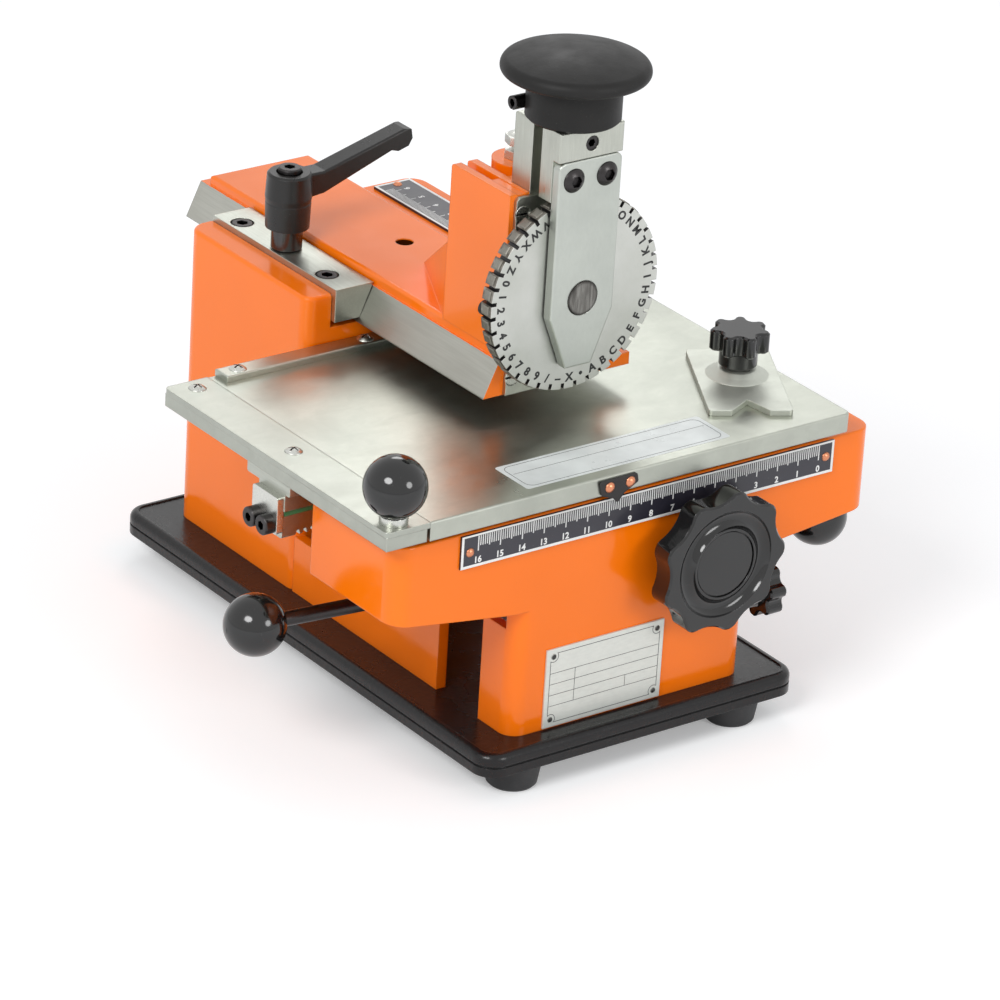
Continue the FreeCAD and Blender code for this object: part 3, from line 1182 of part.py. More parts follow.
def pinion():
    """Spur pinion meshing with the rack from below."""
    tip = GEAR_PITCH_R + GEAR_MODULE * 0.85
    root = GEAR_PITCH_R - GEAR_MODULE * 1.2
    flank = GEAR_PITCH_R - GEAR_MODULE * 0.2
    step = 2 * math.pi / GEAR_TEETH
    pts = []
    for i in range(GEAR_TEETH):
        a = i * step + math.pi / 2
        for f, r in ((-0.36, root), (-0.24, flank), (-0.11, tip), (0.11, tip), (0.24, flank), (0.36, root)):
            pts.append((HW_X + r * math.cos(a + f * step), HW_Z + r * math.sin(a + f * step)))
    s = prism_xz(pts, GEAR_Y0, GEAR_Y1)
    hub = cyl(HW_X, GEAR_Y0 - 2, HW_Z, 7.0, 2.5, Y_AXIS)
    return fuse([s, hub]).cut(cyl(HW_X, GEAR_Y0 - 5, HW_Z, SHAFT_R, 30, Y_AXIS))


def lever_point(d):
    """Point on the cross rod at a signed distance from its pivot."""
    a = math.radians(LEV_ANGLE)
    return V(LEV_X + d * math.cos(a), LEV_Y - d * math.sin(a), LEV_Z)


def cross_lever():
    a = lever_point(-LEV_L)
    b = lever_point(LEV_RR)
    d = b.sub(a)
    rod = Part.makeCylinder(ROD_R, d.Length, a, d)
    hub = cyl(LEV_X, LEV_Y, LEV_Z - 7, LEV_HUB_R, PLUNGER_Z - 4 - LEV_Z + 7)
    cam = cyl(LEV_X - 2.2, LEV_Y + 2.0, PLUNGER_Z - 2.6, 5.6, 4.8)
    top = cyl(LEV_X, LEV_Y, PLUNGER_Z - 5, 5.4, 7.2)
    s = fuse([hub, cam, top, rod])
    return s.cut(cyl(LEV_X, LEV_Y, LEV_Z - 9, LEVER_PIN_R + RUN, 50))


def lever_pin():
    z0 = LEV_Z - 8.2
    return fuse([cyl(LEV_X, LEV_Y, z0, LEVER_PIN_R, 4.0 - z0),
                 cyl(LEV_X, LEV_Y, z0 - 2.2, 2 * LEVER_PIN_R, 2.8)])


def lever_balls():
    a = lever_point(-LEV_L)
    b = lever_point(LEV_RR)
    ball = ball_knob(ROD_R, BALL_R - BALL_FLAT, BALL_FLAT)
    return group([place(ball, p.x, p.y, p.z, p.sub(q)) for p, q in ((a, b), (b, a))])


def lock_plunger():
    y0 = LEV_Y + 7.65
    s = cyl(LEV_X, y0, PLUNGER_Z, PLUNGER_R, RACK_Y0 - 0.1 - y0, Y_AXIS)
    return s.makeChamfer(0.8, [e for e in s.Edges if near(e.BoundBox.YMin, y0) and near(e.BoundBox.YMax, y0)])


def star_head(r, waist, z0, z1):
    s = Part.Face(lobed_wire(r, r * waist, STAR_LOBES, z0, STAR_HOLLOW)).extrude(V(0, 0, z1 - z0))
    return s.makeChamfer(STAR_CHAMFER, flat_edges(s))


def side_knob():
    z = SIDE_GAP + SIDE_HUB_L
    head = star_head(SIDE_R, STAR_WAIST + 0.04, z - 0.3, z - 0.3 + SIDE_HEAD_L)
    hub = cone(0, 0, SIDE_GAP, SIDE_R / 2, SIDE_R * 0.6, SIDE_HUB_L)
    stud = cyl(0, 0, -12.0, SIDE_STUD_R, 14)
    return place(fuse([head, hub, stud]), BODY_X1, SIDE_Y, SIDE_Z, X_AXIS)


def work_clamp():
    z0 = TAB_TOP + 0.05
    w = CLAMP_W / 2
    h = CLAMP_L / 2
    pts = [(-w, -h), (-7.4, -h), (0, -h + 10.0), (7.4, -h), (w, -h), (w, h), (-w, h)]
    s = prism_xy(pts, z0, z0 + CLAMP_T)
    s = s.makeFillet(1.6, upright(s, [(-w, -h), (w, -h), (w, h), (-w, h)]))
    k = CLAMP_KNOB_OFF
    zc = z0 + CLAMP_T
    dome = revolve_z([(0, zc - 0.5), (12.4, zc - 0.5), (12.2, zc + 0.1), (9.8, zc + 1.5), (7.6, zc + 3.0),
                      (6.0, zc + 3.4), (0, zc + 3.4)], 0, k)
    under = revolve_z([(0, z0 - 1), (10.8, z0 - 1), (10.6, z0 + 0.6), (7.2, z0 + 3.0), (0, z0 + 3.2)], 0, k)
    s = fuse([s, dome]).cut([under, cyl(0, k, 0, CLAMP_BOLT_R + CLEAR, 60)])
    s.rotate(V(0, 0, 0), Z_AXIS, CLAMP_ANGLE)
    s.translate(V(CLAMP_CX, CLAMP_CY, 0))
    return s


def clamp_knob():
    head = star_head(STAR_R, STAR_WAIST, STAR_TOP - STAR_HEAD_H, STAR_TOP)
    hub_top = STAR_TOP - STAR_HEAD_H / 2
    hub = revolve_z([(0, STAR_Z0), (STAR_HUB_R - 1.2, STAR_Z0), (STAR_HUB_R, STAR_Z0 + 1.2),
                     (STAR_HUB_R, hub_top), (0, hub_top)], 0, 0)
    s = fuse([head, hub]).cut(cyl(0, 0, STAR_Z0 - 1, CLAMP_BOLT_R, CLAMP_BOLT_IN + 1.5))
    s.translate(V(CLAMP_KX, CLAMP_KY, 0))
    return s


def clamp_bolt():
    z0 = TAB_LIP_Z + 1.5
    return cyl(CLAMP_KX, CLAMP_KY, z0, CLAMP_BOLT_R - RUN, STAR_Z0 + CLAMP_BOLT_IN - z0)


NODES = {
    "base_plate": base_plate,
    "rubber_feet": feet,
    "foot_screws": foot_screws,
    "body_casting": body_casting,
    "body_bolts": body_bolts,
    "scale_plate": scale_plate,
    "scale_rivets": scale_rivets,
    "name_plate": name_plate,
    "name_pins": name_pins,
    "arm_ruler": arm_ruler,
    "gib_bar": gib_bar,
    "gib_screws": gib_screws,
    "clamp_stud": clamp_stud,
    "clamp_collar": clamp_collar,
    "clamp_lever": clamp_lever,
    "lever_screw": lever_screw,
    "arm_casting": arm_casting,
    "retainer_plate": retainer_plate,
    "retainer_screws": retainer_screws,
    "press_ram": press_ram,
    "return_spring": return_spring,
    "palm_handle": palm_handle,
    "palm_stud": palm_stud,
    "cross_pin": cross_pin,
    "block_set_screw": block_set_screw,
    "cover_plate": cover_plate,
    "cover_screws": cover_screws,
    "wheel_axle": wheel_axle,
    "char_wheel": char_wheel,
    "type_faces": type_faces,
    "detent_spring": detent_spring,
    "stop_screw": stop_screw,
    "stop_nut": stop_nut,
    "table_plate": table_plate,
    "table_strip": table_strip,
    "table_screws": table_screws,
    "fence_bar": fence_bar,
    "table_knob": table_knob,
    "table_knob_stem": table_knob_stem,
    "pointer": pointer,
    "pointer_rivets": pointer_rivets,
    "table_rail": table_rail,
    "rail_liner": rail_liner,
    "rack_bar": rack_bar,
    "rack_screws": rack_screws,
    "rack_plates": rack_plates,
    "rail_bed": rail_bed,
    "bed_screws": bed_screws,
    "hw_shaft": hw_shaft,
    "shaft_bushes": shaft_bushes,
    "handwheel": handwheel,
    "pinion": pinion,
    "cross_lever": cross_lever,
    "lever_pin": lever_pin,
    "lever_balls": lever_balls,
    "lock_plunger": lock_plunger,
    "side_knob": side_knob,
    "work_clamp": work_clamp,
    "clamp_knob": clamp_knob,
    "clamp_bolt": clamp_bolt,
}

# footprint centre, worked out from the parts that reach furthest each way
LEFT_END = lever_point(-LEV_L).x - BALL_R
RIGHT_END = lever_point(LEV_RR).x + BALL_R
ORIGIN = V((LEFT_END + RIGHT_END) / 2, (HW_FRONT + ARM_TAIL_Y1) / 2, FOOT_Z)


def main():
    os.makedirs("parts", exist_ok=True)
    for name, make in NODES.items():
        shape = make()
        shape.translate(ORIGIN.negative())
        shape.exportStep("parts/%s.step" % name)
        print(name, len(shape.Solids), shape.isValid(), round(shape.Volume))


main()
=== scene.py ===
"""Looks, printed marks, floor, light and camera of the nameplate marking machine."""

import math

import bmesh
import bpy
from mathutils import Matrix, Vector


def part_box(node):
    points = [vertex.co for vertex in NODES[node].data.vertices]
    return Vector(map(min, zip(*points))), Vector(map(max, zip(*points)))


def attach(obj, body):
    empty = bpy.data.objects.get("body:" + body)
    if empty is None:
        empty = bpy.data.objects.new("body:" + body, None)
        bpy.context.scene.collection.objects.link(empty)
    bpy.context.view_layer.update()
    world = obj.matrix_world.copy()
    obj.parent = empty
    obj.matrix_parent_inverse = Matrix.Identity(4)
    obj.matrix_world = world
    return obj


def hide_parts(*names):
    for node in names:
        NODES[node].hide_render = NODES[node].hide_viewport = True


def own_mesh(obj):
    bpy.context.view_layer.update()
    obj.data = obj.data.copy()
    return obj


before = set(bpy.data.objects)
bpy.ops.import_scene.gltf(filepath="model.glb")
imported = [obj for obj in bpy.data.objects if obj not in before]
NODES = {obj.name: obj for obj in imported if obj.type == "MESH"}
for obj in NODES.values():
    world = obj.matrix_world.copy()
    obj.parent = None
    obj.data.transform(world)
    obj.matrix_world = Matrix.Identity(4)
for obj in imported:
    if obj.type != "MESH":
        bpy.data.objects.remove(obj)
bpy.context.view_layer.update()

# Machine coordinates are millimetres from the front scale's zero line: x to the right, y back, z up.
# A corner of the scale's plate, known in both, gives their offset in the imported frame.
SCALE_X0, SCALE_X1 = -167.6, 7.4
SCALE_Z0, SCALE_Z1 = -5.4, 7.9
SCALE_FACE_Y = -1.0
plate_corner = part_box("scale_plate")[0]
ORIGIN = Vector((plate_corner.x * 1000 - SCALE_X0,
                 plate_corner.y * 1000 - SCALE_FACE_Y,
                 plate_corner.z * 1000 - SCALE_Z0))


def at(x, y, z):
    """A point given in machine millimetres, in the frame's metres."""
    return (ORIGIN + Vector((x, y, z))) / 1000


def box_mm(node):
    """Lowest and highest corner of a node at rest, in machine millimetres."""
    return [[v * 1000 - o for v, o in zip(corner, ORIGIN)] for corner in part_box(node)]


# Tools for procedural materials
COAT_ROUGH = 0.06
NOISE_LOW, NOISE_HIGH = 0.3, 0.7  # most of a noise lies between these


class Tree:
    """A Principled material whose inputs are fed by procedural nodes; lengths are in metres."""

    def __init__(self, name, metallic=0.0, coat=0.0, specular=0.5, ior=1.5):
        self.mat = bpy.data.materials.new(name)
        self.mat.use_nodes = True
        self.nt = self.mat.node_tree
        self.nt.nodes.clear()
        self.out = self.node("OutputMaterial")
        self.shader = self.node("BsdfPrincipled")
        self.link(self.shader.outputs[0], self.out.inputs[0])
        for socket, value in (("Metallic", metallic), ("Coat Weight", coat), ("Coat Roughness", COAT_ROUGH),
                              ("IOR", ior), ("Specular IOR Level", specular)):
            self.shader.inputs[socket].default_value = value
        self.coord = self.node("TexCoord")
        self.normal = None

    def node(self, kind, **settings):
        """Add a shader node with these settings."""
        n = self.nt.nodes.new("ShaderNode" + kind)
        for key, value in settings.items():
            setattr(n, key, value)
        return n

    def link(self, source, target):
        self.nt.links.new(source, target)

    def feed(self, socket, value):
        """Set a socket to a number or a colour, or link it to another node's output."""
        if isinstance(value, (int, float)):
            socket.default_value = value
        elif isinstance(value, tuple):
            socket.default_value = (*value, 1)
        else:
            self.link(value, socket)

    def noise(self, scale, detail=3.0, rough=0.55, stretch=(1, 1, 1), distort=0.0):
        """Cloudy noise from 0 to 1; an axis stretched below 1 gives streaks along it."""
        place = self.node("Mapping")
        place.inputs["Scale"].default_value = stretch
        self.link(self.coord.outputs["Object"], place.inputs["Vector"])
        n = self.node("TexNoise")
        settings = {"Scale": scale, "Detail": detail, "Roughness": rough, "Distortion": distort}
        for socket, value in settings.items():
            n.inputs[socket].default_value = value
        self.link(place.outputs[0], n.inputs["Vector"])
        return n.outputs["Fac"]

    def distance(self, centre, axis):
        """Distance from a line through a point, along Y or Z."""
        offset = self.node("VectorMath", operation="SUBTRACT")
        self.link(self.coord.outputs["Object"], offset.inputs[0])
        offset.inputs[1].default_value = centre
        flat = self.node("VectorMath", operation="MULTIPLY")
        self.link(offset.outputs[0], flat.inputs[0])
        flat.inputs[1].default_value = {"Y": (1, 0, 1), "Z": (1, 1, 0)}[axis]
        length = self.node("VectorMath", operation="LENGTH")
        self.link(flat.outputs[0], length.inputs[0])
        return length.outputs["Value"]

    def rings(self, distance, scale):
        """Turning marks: noise that changes only with the distance from an axis."""
        n = self.node("TexNoise", noise_dimensions="1D")
        n.inputs["Scale"].default_value = scale
        n.inputs["Detail"].default_value = 3
        self.link(distance, n.inputs["W"])
        return n.outputs["Fac"]

    def parts(self, source):
        """X, Y and Z of the object position or normal."""
        split = self.node("SeparateXYZ")
        self.link(self.coord.outputs[source], split.inputs[0])
        return split.outputs

    def cells(self, scale):
        """A random grey for each cell, as in metal grain."""
        v = self.node("TexVoronoi")
        v.inputs["Scale"].default_value = scale
        self.link(self.coord.outputs["Object"], v.inputs["Vector"])
        grey = self.node("SeparateColor")
        self.link(v.outputs["Color"], grey.inputs[0])
        return grey.outputs[0]

    def ramp(self, fac, *stops):
        """Colours along a mask, as pairs of a place and a colour."""
        r = self.node("ValToRGB")
        elements = r.color_ramp.elements
        while len(elements) < len(stops):
            elements.new(0.5)
        for element, (place, colour) in zip(elements, stops):
            element.position = place
            element.color = (*colour, 1)
        self.link(fac, r.inputs["Fac"])
        return r.outputs["Color"]

    def span(self, fac, low, high, to_low, to_high):
        """Map low..high to to_low..to_high, held at both ends."""
        r = self.node("MapRange", clamp=True)
        for i, value in enumerate((low, high, to_low, to_high), start=1):
            r.inputs[i].default_value = value
        self.link(fac, r.inputs[0])
        return r.outputs[0]

    def spread(self, noise, to_low, to_high):
        """Map the middle of a noise to to_low..to_high, held at both ends."""
        return self.span(noise, NOISE_LOW, NOISE_HIGH, to_low, to_high)

    def tones(self, noise, colour, dark, light):
        """A colour that goes from a darker to a lighter tone of itself with a noise."""
        return self.ramp(noise, (NOISE_LOW, scaled(colour, dark)), (NOISE_HIGH, scaled(colour, light)))

    def mix(self, mask, a, b):
        """A colour going from a to b with the mask."""
        m = self.node("Mix", data_type="RGBA")
        for i, value in ((0, mask), (6, a), (7, b)):
            self.feed(m.inputs[i], value)
        return m.outputs[2]

    def fade(self, mask, a, b):
        """A number going from a to b with the mask."""
        m = self.node("Mix")
        for i, value in ((0, mask), (2, a), (3, b)):
            self.feed(m.inputs[i], value)
        return m.outputs[0]

    def calc(self, kind, a, b=0.0):
        """Arithmetic on numbers; sums, differences and products are held between 0 and 1."""
        m = self.node("Math", operation=kind, use_clamp=kind in ("MULTIPLY", "ADD", "SUBTRACT"))
        self.feed(m.inputs[0], a)
        self.feed(m.inputs[1], b)
        return m.outputs[0]

    def edges(self, radius, gain):
        """Mask of the outer edges; the shader's normal becomes the softly rounded one."""
        bevel = self.node("Bevel", samples=4)
        bevel.inputs["Radius"].default_value = radius
        face = self.node("NewGeometry")
        dot = self.node("VectorMath", operation="DOT_PRODUCT")
        self.link(bevel.outputs[0], dot.inputs[0])
        self.link(face.outputs["Normal"], dot.inputs[1])
        self.normal = bevel.outputs[0]
        return self.calc("MULTIPLY", self.calc("SUBTRACT", 1.0, dot.outputs["Value"]), gain)

    def cavity(self, distance):
        """Mask for painted shade: 1 in narrow recesses of the piece itself, 0 in the open."""
        a = self.node("AmbientOcclusion", samples=6, only_local=True)
        a.inputs["Distance"].default_value = distance
        return self.calc("SUBTRACT", 1.0, a.outputs["AO"])

    def bump(self, height, strength, distance):
        b = self.node("Bump")
        b.inputs["Strength"].default_value = strength
        b.inputs["Distance"].default_value = distance
        self.link(height, b.inputs["Height"])
        if self.normal is not None:
            self.link(self.normal, b.inputs["Normal"])
        self.normal = b.outputs[0]

    def finish(self, colour, rough, metallic=None):
        """Feed the shader and give the material."""
        self.feed(self.shader.inputs["Base Color"], colour)
        self.feed(self.shader.inputs["Roughness"], rough)
        if metallic is not None:
            self.link(metallic, self.shader.inputs["Metallic"])
        if self.normal is not None:
            self.link(self.normal, self.shader.inputs["Normal"])
        return self.mat


def srgb(r, g, b):
    """A colour as it reads on screen, 0 to 255, in the renderer's linear values."""
    shares = (r / 255, g / 255, b / 255)
    return tuple(v / 12.92 if v <= 0.04045 else ((v + 0.055) / 1.055) ** 2.4 for v in shares)


def scaled(colour, k):
    """A colour k times as bright."""
    return tuple(min(1.0, c * k) for c in colour)


# Kinds of finish, from which each material is made
def enamel(name, colour, edge_wear_and_highlight, rough=(0.12, 0.24), peel=0.06, coat=0.12, specular=0.40, bare=None,
           dark=None):
    """Sprayed enamel with faint orange peel and paler edges, partly chipped wear and partly painted
    highlight; bare(t) masks unpainted metal and dark(t) a deep hole whose walls get painted shade.
    """
    t = Tree(name, coat=coat, ior=1.45, specular=specular)
    edge = t.edges(radius=0.0008, gain=5.0)
    base = t.tones(t.noise(14, detail=2.0), colour, 0.95, 1.04)
    dusty = t.mix(t.span(t.noise(700, detail=2.0), 0.68, 0.80, 0.0, 0.18), base, scaled(colour, 0.70))
    # Paler edges: partly chipped wear, partly painted highlight.
    chips_and_highlight = t.calc("MULTIPLY", edge, t.span(t.noise(220, detail=4.0), 0.40, 0.75, 0.1, 0.6))
    worn_lit_and_shaded = t.mix(chips_and_highlight, dusty, edge_wear_and_highlight)
    # Painted shade: the deep hole's walls are painted near black.
    if dark is not None:
        worn_lit_and_shaded = t.mix(dark(t), worn_lit_and_shaded, scaled(colour, 0.05))
    gloss = t.spread(t.noise(60, detail=4.0), *rough)
    t.bump(t.noise(420, detail=2.0), strength=peel, distance=0.0004)
    if bare is None:
        return t.finish(worn_lit_and_shaded, gloss)
    mask = bare(t)
    lines = t.noise(1500, detail=3.0, rough=0.6, stretch=(1, 0.03, 1))
    clouds = t.ramp(t.noise(24, detail=4.0, rough=0.6, stretch=(1, 0.4, 1)),
                    (0.3, srgb(158, 157, 149)), (0.7, srgb(180, 180, 172)))
    metal = t.mix(t.span(lines, 0.35, 0.65, 0.0, 0.25), clouds, srgb(150, 149, 141))
    cut = t.spread(lines, 0.36, 0.44)
    return t.finish(t.mix(mask, worn_lit_and_shaded, metal), t.fade(mask, gloss, cut), mask)


def steel(name, colour, grain=(1, 1, 1), grain_scale=900, rough=(0.28, 0.40), mottle=0.10, edge_gain=0.5,
          stain=0.12, bump=0.10, recess=0.0, metallic=1.0, streak=0.35):
    """Bare metal: brushed along one direction, mottled, with edges painted brighter (rubbed wear and painted
    highlight) and recesses painted dark as shade.
    """
    t = Tree(name, metallic=metallic)
    edge = t.edges(radius=0.0005, gain=5.0)
    lines = t.noise(grain_scale, detail=3.0, rough=0.6, stretch=grain)
    blotch = t.noise(45, detail=5.0, rough=0.6, distort=0.4)
    base = t.tones(blotch, colour, 1 - mottle, 1 + mottle)
    brushed = t.mix(t.span(lines, 0.35, 0.65, 0.0, streak), base, scaled(colour, 0.82))
    spots = t.span(t.noise(160, detail=4.0, rough=0.7), 0.62, 0.80, 0.0, stain * 3)
    spotted = t.mix(spots, brushed, scaled(colour, 0.62))
    # Edges painted brighter: partly rubbed wear, partly painted highlight.
    rubbed_and_highlit = t.mix(t.calc("MULTIPLY", edge, edge_gain), spotted, scaled(colour, 1.25))
    # Painted shade: recesses of the piece are darkened to near black.
    if recess:
        rubbed_and_highlit = t.mix(t.span(t.cavity(recess), 0.15, 0.50, 0.0, 0.95), rubbed_and_highlit, scaled(colour, 0.04))
    t.bump(lines, strength=bump, distance=0.00008)
    cut = t.spread(lines, *rough)
    return t.finish(rubbed_and_highlit, t.calc("ADD", cut, t.spread(blotch, 0.0, 0.06)))


def turned(name, colour, rough, scale):
    """Small turned metal with fine rings about the frame's Y axis."""
    t = Tree(name, metallic=1.0)
    edge = t.edges(radius=0.0004, gain=5.0)
    ring = t.rings(t.distance((0, 0, 0), "Y"), scale)
    base = t.tones(t.noise(50, detail=4.0), colour, 0.93, 1.06)
    lined = t.mix(t.span(ring, 0.35, 0.65, 0.0, 0.30), base, scaled(colour, 0.84))
    # Edges painted brighter: partly rubbed wear, partly painted highlight.
    rubbed_and_highlit = t.mix(t.calc("MULTIPLY", edge, 0.5), lined, scaled(colour, 1.2))
    t.bump(ring, strength=0.12, distance=0.00006)
    return t.finish(rubbed_and_highlit, t.spread(ring, *rough))


def moulded(name, colour, rough, grain=0.05, coat=0.0, edge_radius=0.0004, specular=0.5):
    """Moulded plastic or ink: faint waviness, dust specks and lighter edges, partly rubbed wear and partly
    painted highlight.
    """
    t = Tree(name, coat=coat, specular=specular)
    edge = t.edges(radius=edge_radius, gain=4.0)
    base = t.tones(t.noise(40), colour, 0.85, 1.2)
    dust = t.mix(t.span(t.noise(1500, detail=2.0), 0.70, 0.80, 0.0, 0.35), base, DUST)
    # Edges painted lighter: partly rubbed wear, partly painted highlight.
    rubbed_and_highlit = t.mix(t.calc("MULTIPLY", edge, 0.35), dust, scaled(colour, 2.2))
    t.bump(t.noise(600), strength=grain, distance=0.0003)
    return t.finish(rubbed_and_highlit, t.spread(t.noise(120, detail=4.0), *rough))


def galvanised(name, colour, dark=0.80, rough=(0.27, 0.36)):
    """Rolled zinc sheet: soft cloudy bloom, faint grain, no brushing."""
    t = Tree(name, metallic=1.0)
    edge = t.edges(radius=0.0006, gain=5.0)
    cloud = t.noise(16, detail=5.0, rough=0.62, distort=0.8)
    fine = t.noise(120, detail=4.0, rough=0.6, stretch=(0.5, 1, 1), distort=0.5)
    base = t.ramp(cloud, (0.28, scaled(colour, dark)), (0.50, colour), (0.74, scaled(colour, 1.08)))
    grained = t.mix(t.span(fine, 0.40, 0.66, 0.0, 0.40), base, scaled(colour, 0.88))
    cell = t.mix(t.span(t.cells(260), 0.0, 1.0, 0.0, 0.14), grained, scaled(colour, 0.72))
    scuffs = t.span(t.noise(380, detail=4.0, rough=0.7), 0.66, 0.80, 0.0, 0.35)
    scuffed = t.mix(scuffs, cell, scaled(colour, 0.60))
    # Edges painted brighter: partly rubbed wear, partly painted highlight.
    rubbed_and_highlit = t.mix(t.calc("MULTIPLY", edge, 0.5), scuffed, scaled(colour, 1.3))
    t.bump(fine, strength=0.05, distance=0.0001)
    return t.finish(rubbed_and_highlit, t.calc("ADD", t.spread(cloud, *rough), t.span(fine, 0.4, 0.7, 0.0, 0.07)))


# The sliding arm is painted down to a lip and bare below it, and its top has an oil hole.
ARM_LIP_Z = (ORIGIN.z + 42.6) / 1000
OIL_HOLE = at(-80.8, 161.8, 46.8)
OIL_HOLE_R = 0.0038
OIL_HOLE_RIM = 0.0006
PAINT_WAVER = 0.0004


def bare_flanks(t):
    """Mask of the arm's machined dovetail: sloping flanks and underside below the painted lip."""
    normal = t.parts("Normal")
    place = t.parts("Object")
    side = t.calc("GREATER_THAN", t.calc("ABSOLUTE", normal[0]), 0.3)
    under = t.calc("LESS_THAN", normal[2], -0.5)
    ragged = t.calc("ADD", place[2], t.spread(t.noise(500), 0.0, PAINT_WAVER))
    below = t.calc("LESS_THAN", ragged, ARM_LIP_Z + PAINT_WAVER / 2)
    return t.calc("MULTIPLY", t.calc("MAXIMUM", side, under), below)


def oil_hole(t):
    """Mask of the walls of the hole in the arm's top, which are painted near black as shade."""
    near = t.calc("LESS_THAN", t.distance(tuple(OIL_HOLE), "Z"), OIL_HOLE_R)
    sunk = t.calc("LESS_THAN", t.parts("Object")[2], OIL_HOLE.z - OIL_HOLE_RIM)
    return t.calc("MULTIPLY", near, sunk)


wheel_low, wheel_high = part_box("char_wheel")
axle_low, axle_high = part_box("wheel_axle")
WHEEL_CENTRE = (wheel_low + wheel_high) / 2
WHEEL_R = (wheel_high.x - wheel_low.x) / 2
AXLE_R = (axle_high.x - axle_low.x) / 2
SLOT_DEPTH = 0.0035
RIM_SLACK = 0.0001


def axle_metal():
    """Oily grey axle end with a dark ring and upright streaks."""
    t = Tree("axle_face", metallic=1.0)
    edge = t.edges(radius=0.0004, gain=5.0)
    far = t.distance(tuple(WHEEL_CENTRE), "Y")
    streaks = t.noise(260, detail=4.0, rough=0.6, stretch=(1, 1, 0.12), distort=0.4)
    base = t.ramp(streaks, (0.34, srgb(66, 64, 61)), (0.52, srgb(112, 110, 106)), (0.70, srgb(158, 157, 152)))
    ringed = t.mix(t.span(far, AXLE_R * 0.80, AXLE_R * 0.94, 0.0, 0.85), base, srgb(46, 44, 42))
    # Edges painted lighter: partly rubbed wear, partly painted highlight.
    rubbed_and_highlit = t.mix(t.calc("MULTIPLY", edge, 0.3), ringed, srgb(150, 148, 144))
    t.bump(streaks, strength=0.05, distance=0.00008)
    return t.finish(rubbed_and_highlit, t.spread(streaks, 0.18, 0.32))


def wheel_metal():
    """Faced disc, browned rim blocks, and slot walls painted near black as shade in the slots."""
    t = Tree("wheel_metal", metallic=1.0)
    edge = t.edges(radius=0.0004, gain=5.0)
    far = t.distance(tuple(WHEEL_CENTRE), "Y")
    ring = t.rings(far, 7000)
    base = t.ramp(t.noise(50, detail=4.0), (0.3, srgb(190, 192, 185)), (0.7, srgb(205, 206, 201)))
    lined = t.mix(t.span(ring, 0.35, 0.65, 0.0, 0.14), base, srgb(166, 166, 160))
    # Edges painted brighter: partly rubbed wear, partly painted highlight.
    rubbed_and_highlit = t.mix(t.calc("MULTIPLY", edge, 0.5), lined, srgb(236, 236, 232))
    wall = t.calc("LESS_THAN", t.calc("ABSOLUTE", t.parts("Normal")[1]), 0.5)
    rim = t.calc("MULTIPLY", wall, t.calc("GREATER_THAN", far, WHEEL_R - RIM_SLACK))
    outside = t.calc("GREATER_THAN", far, WHEEL_R - SLOT_DEPTH)
    slot = t.calc("MULTIPLY", t.calc("SUBTRACT", wall, rim), outside)
    brown = t.ramp(t.noise(300, detail=4.0), (0.35, srgb(92, 88, 80)), (0.65, srgb(158, 154, 146)))
    # Painted shade: the slot walls are near black and not metallic.
    slot_shaded = t.mix(slot, t.mix(rim, rubbed_and_highlit, brown), (0.012, 0.011, 0.011))
    t.bump(ring, strength=0.06, distance=0.00006)
    return t.finish(slot_shaded, t.spread(ring, 0.38, 0.46), t.calc("SUBTRACT", 1.0, slot))


def pin_metal():
    """Pin head painted dark as the shade of a centre recess, with a rim as bright as the plate round it."""
    t = Tree("pin_head", metallic=0.5)
    rim = t.edges(radius=0.0005, gain=6.0)
    # Painted shade: the head's middle is dark, standing in for its recess.
    dark = t.ramp(t.noise(900), (0.3, srgb(30, 30, 30)), (0.7, srgb(52, 51, 50)))
    return t.finish(t.mix(rim, dark, srgb(206, 208, 201)), t.spread(t.noise(400, detail=2.0), 0.32, 0.44))


# Paints and plastics
ORANGE = srgb(252, 119, 6)
# Pale orange is painted on the paint's edges, as highlight and as chipped wear.
PALE_ORANGE = srgb(255, 160, 84)
DUST = (0.16, 0.155, 0.15)
orange_paint = enamel("orange_paint", ORANGE, PALE_ORANGE)
arm_paint = enamel("arm_paint", ORANGE, PALE_ORANGE, coat=0.2, specular=0.45, bare=bare_flanks, dark=oil_hole)
black_paint = enamel("black_paint", (0.007, 0.0065, 0.007), (0.04, 0.04, 0.04), rough=(0.20, 0.34), peel=0.3,
                     coat=0.1, specular=0.35)
rubber = moulded("rubber", (0.020, 0.020, 0.021), rough=(0.55, 0.75), grain=0.25)
gloss_black = moulded("gloss_black", (0.007, 0.007, 0.007), rough=(0.07, 0.13), grain=0.02, coat=0.2)
ball_black = moulded("ball_black", (0.008, 0.008, 0.008), rough=(0.07, 0.13), grain=0.02, specular=0.6)
matt_black = moulded("matt_black", (0.018, 0.0175, 0.017), rough=(0.42, 0.54), grain=0.14, specular=0.17)
lever_black = moulded("lever_black", (0.013, 0.0125, 0.012), rough=(0.26, 0.40), grain=0.12, specular=0.38)
green = moulded("green_strip", srgb(70, 132, 84), rough=(0.4, 0.55))

# Plates and inks of the scales and labels
scale_field = moulded("scale_field", (0.018, 0.017, 0.026), rough=(0.28, 0.42), coat=0.2)
white_ink = moulded("white_ink", (0.78, 0.78, 0.76), rough=(0.35, 0.5))
black_ink = moulded("black_ink", (0.012, 0.012, 0.012), rough=(0.35, 0.5))
grey_ink = moulded("grey_ink", (0.03, 0.03, 0.033), rough=(0.35, 0.5))
label_film = moulded("label_film", srgb(214, 218, 216), rough=(0.26, 0.36), coat=0.1, edge_radius=0.0001)
label_plate = steel("label_plate", srgb(218, 220, 213), grain=(0.3, 1, 1), rough=(0.36, 0.46), mottle=0.03,
                    stain=0.02, bump=0.03, metallic=0.25)

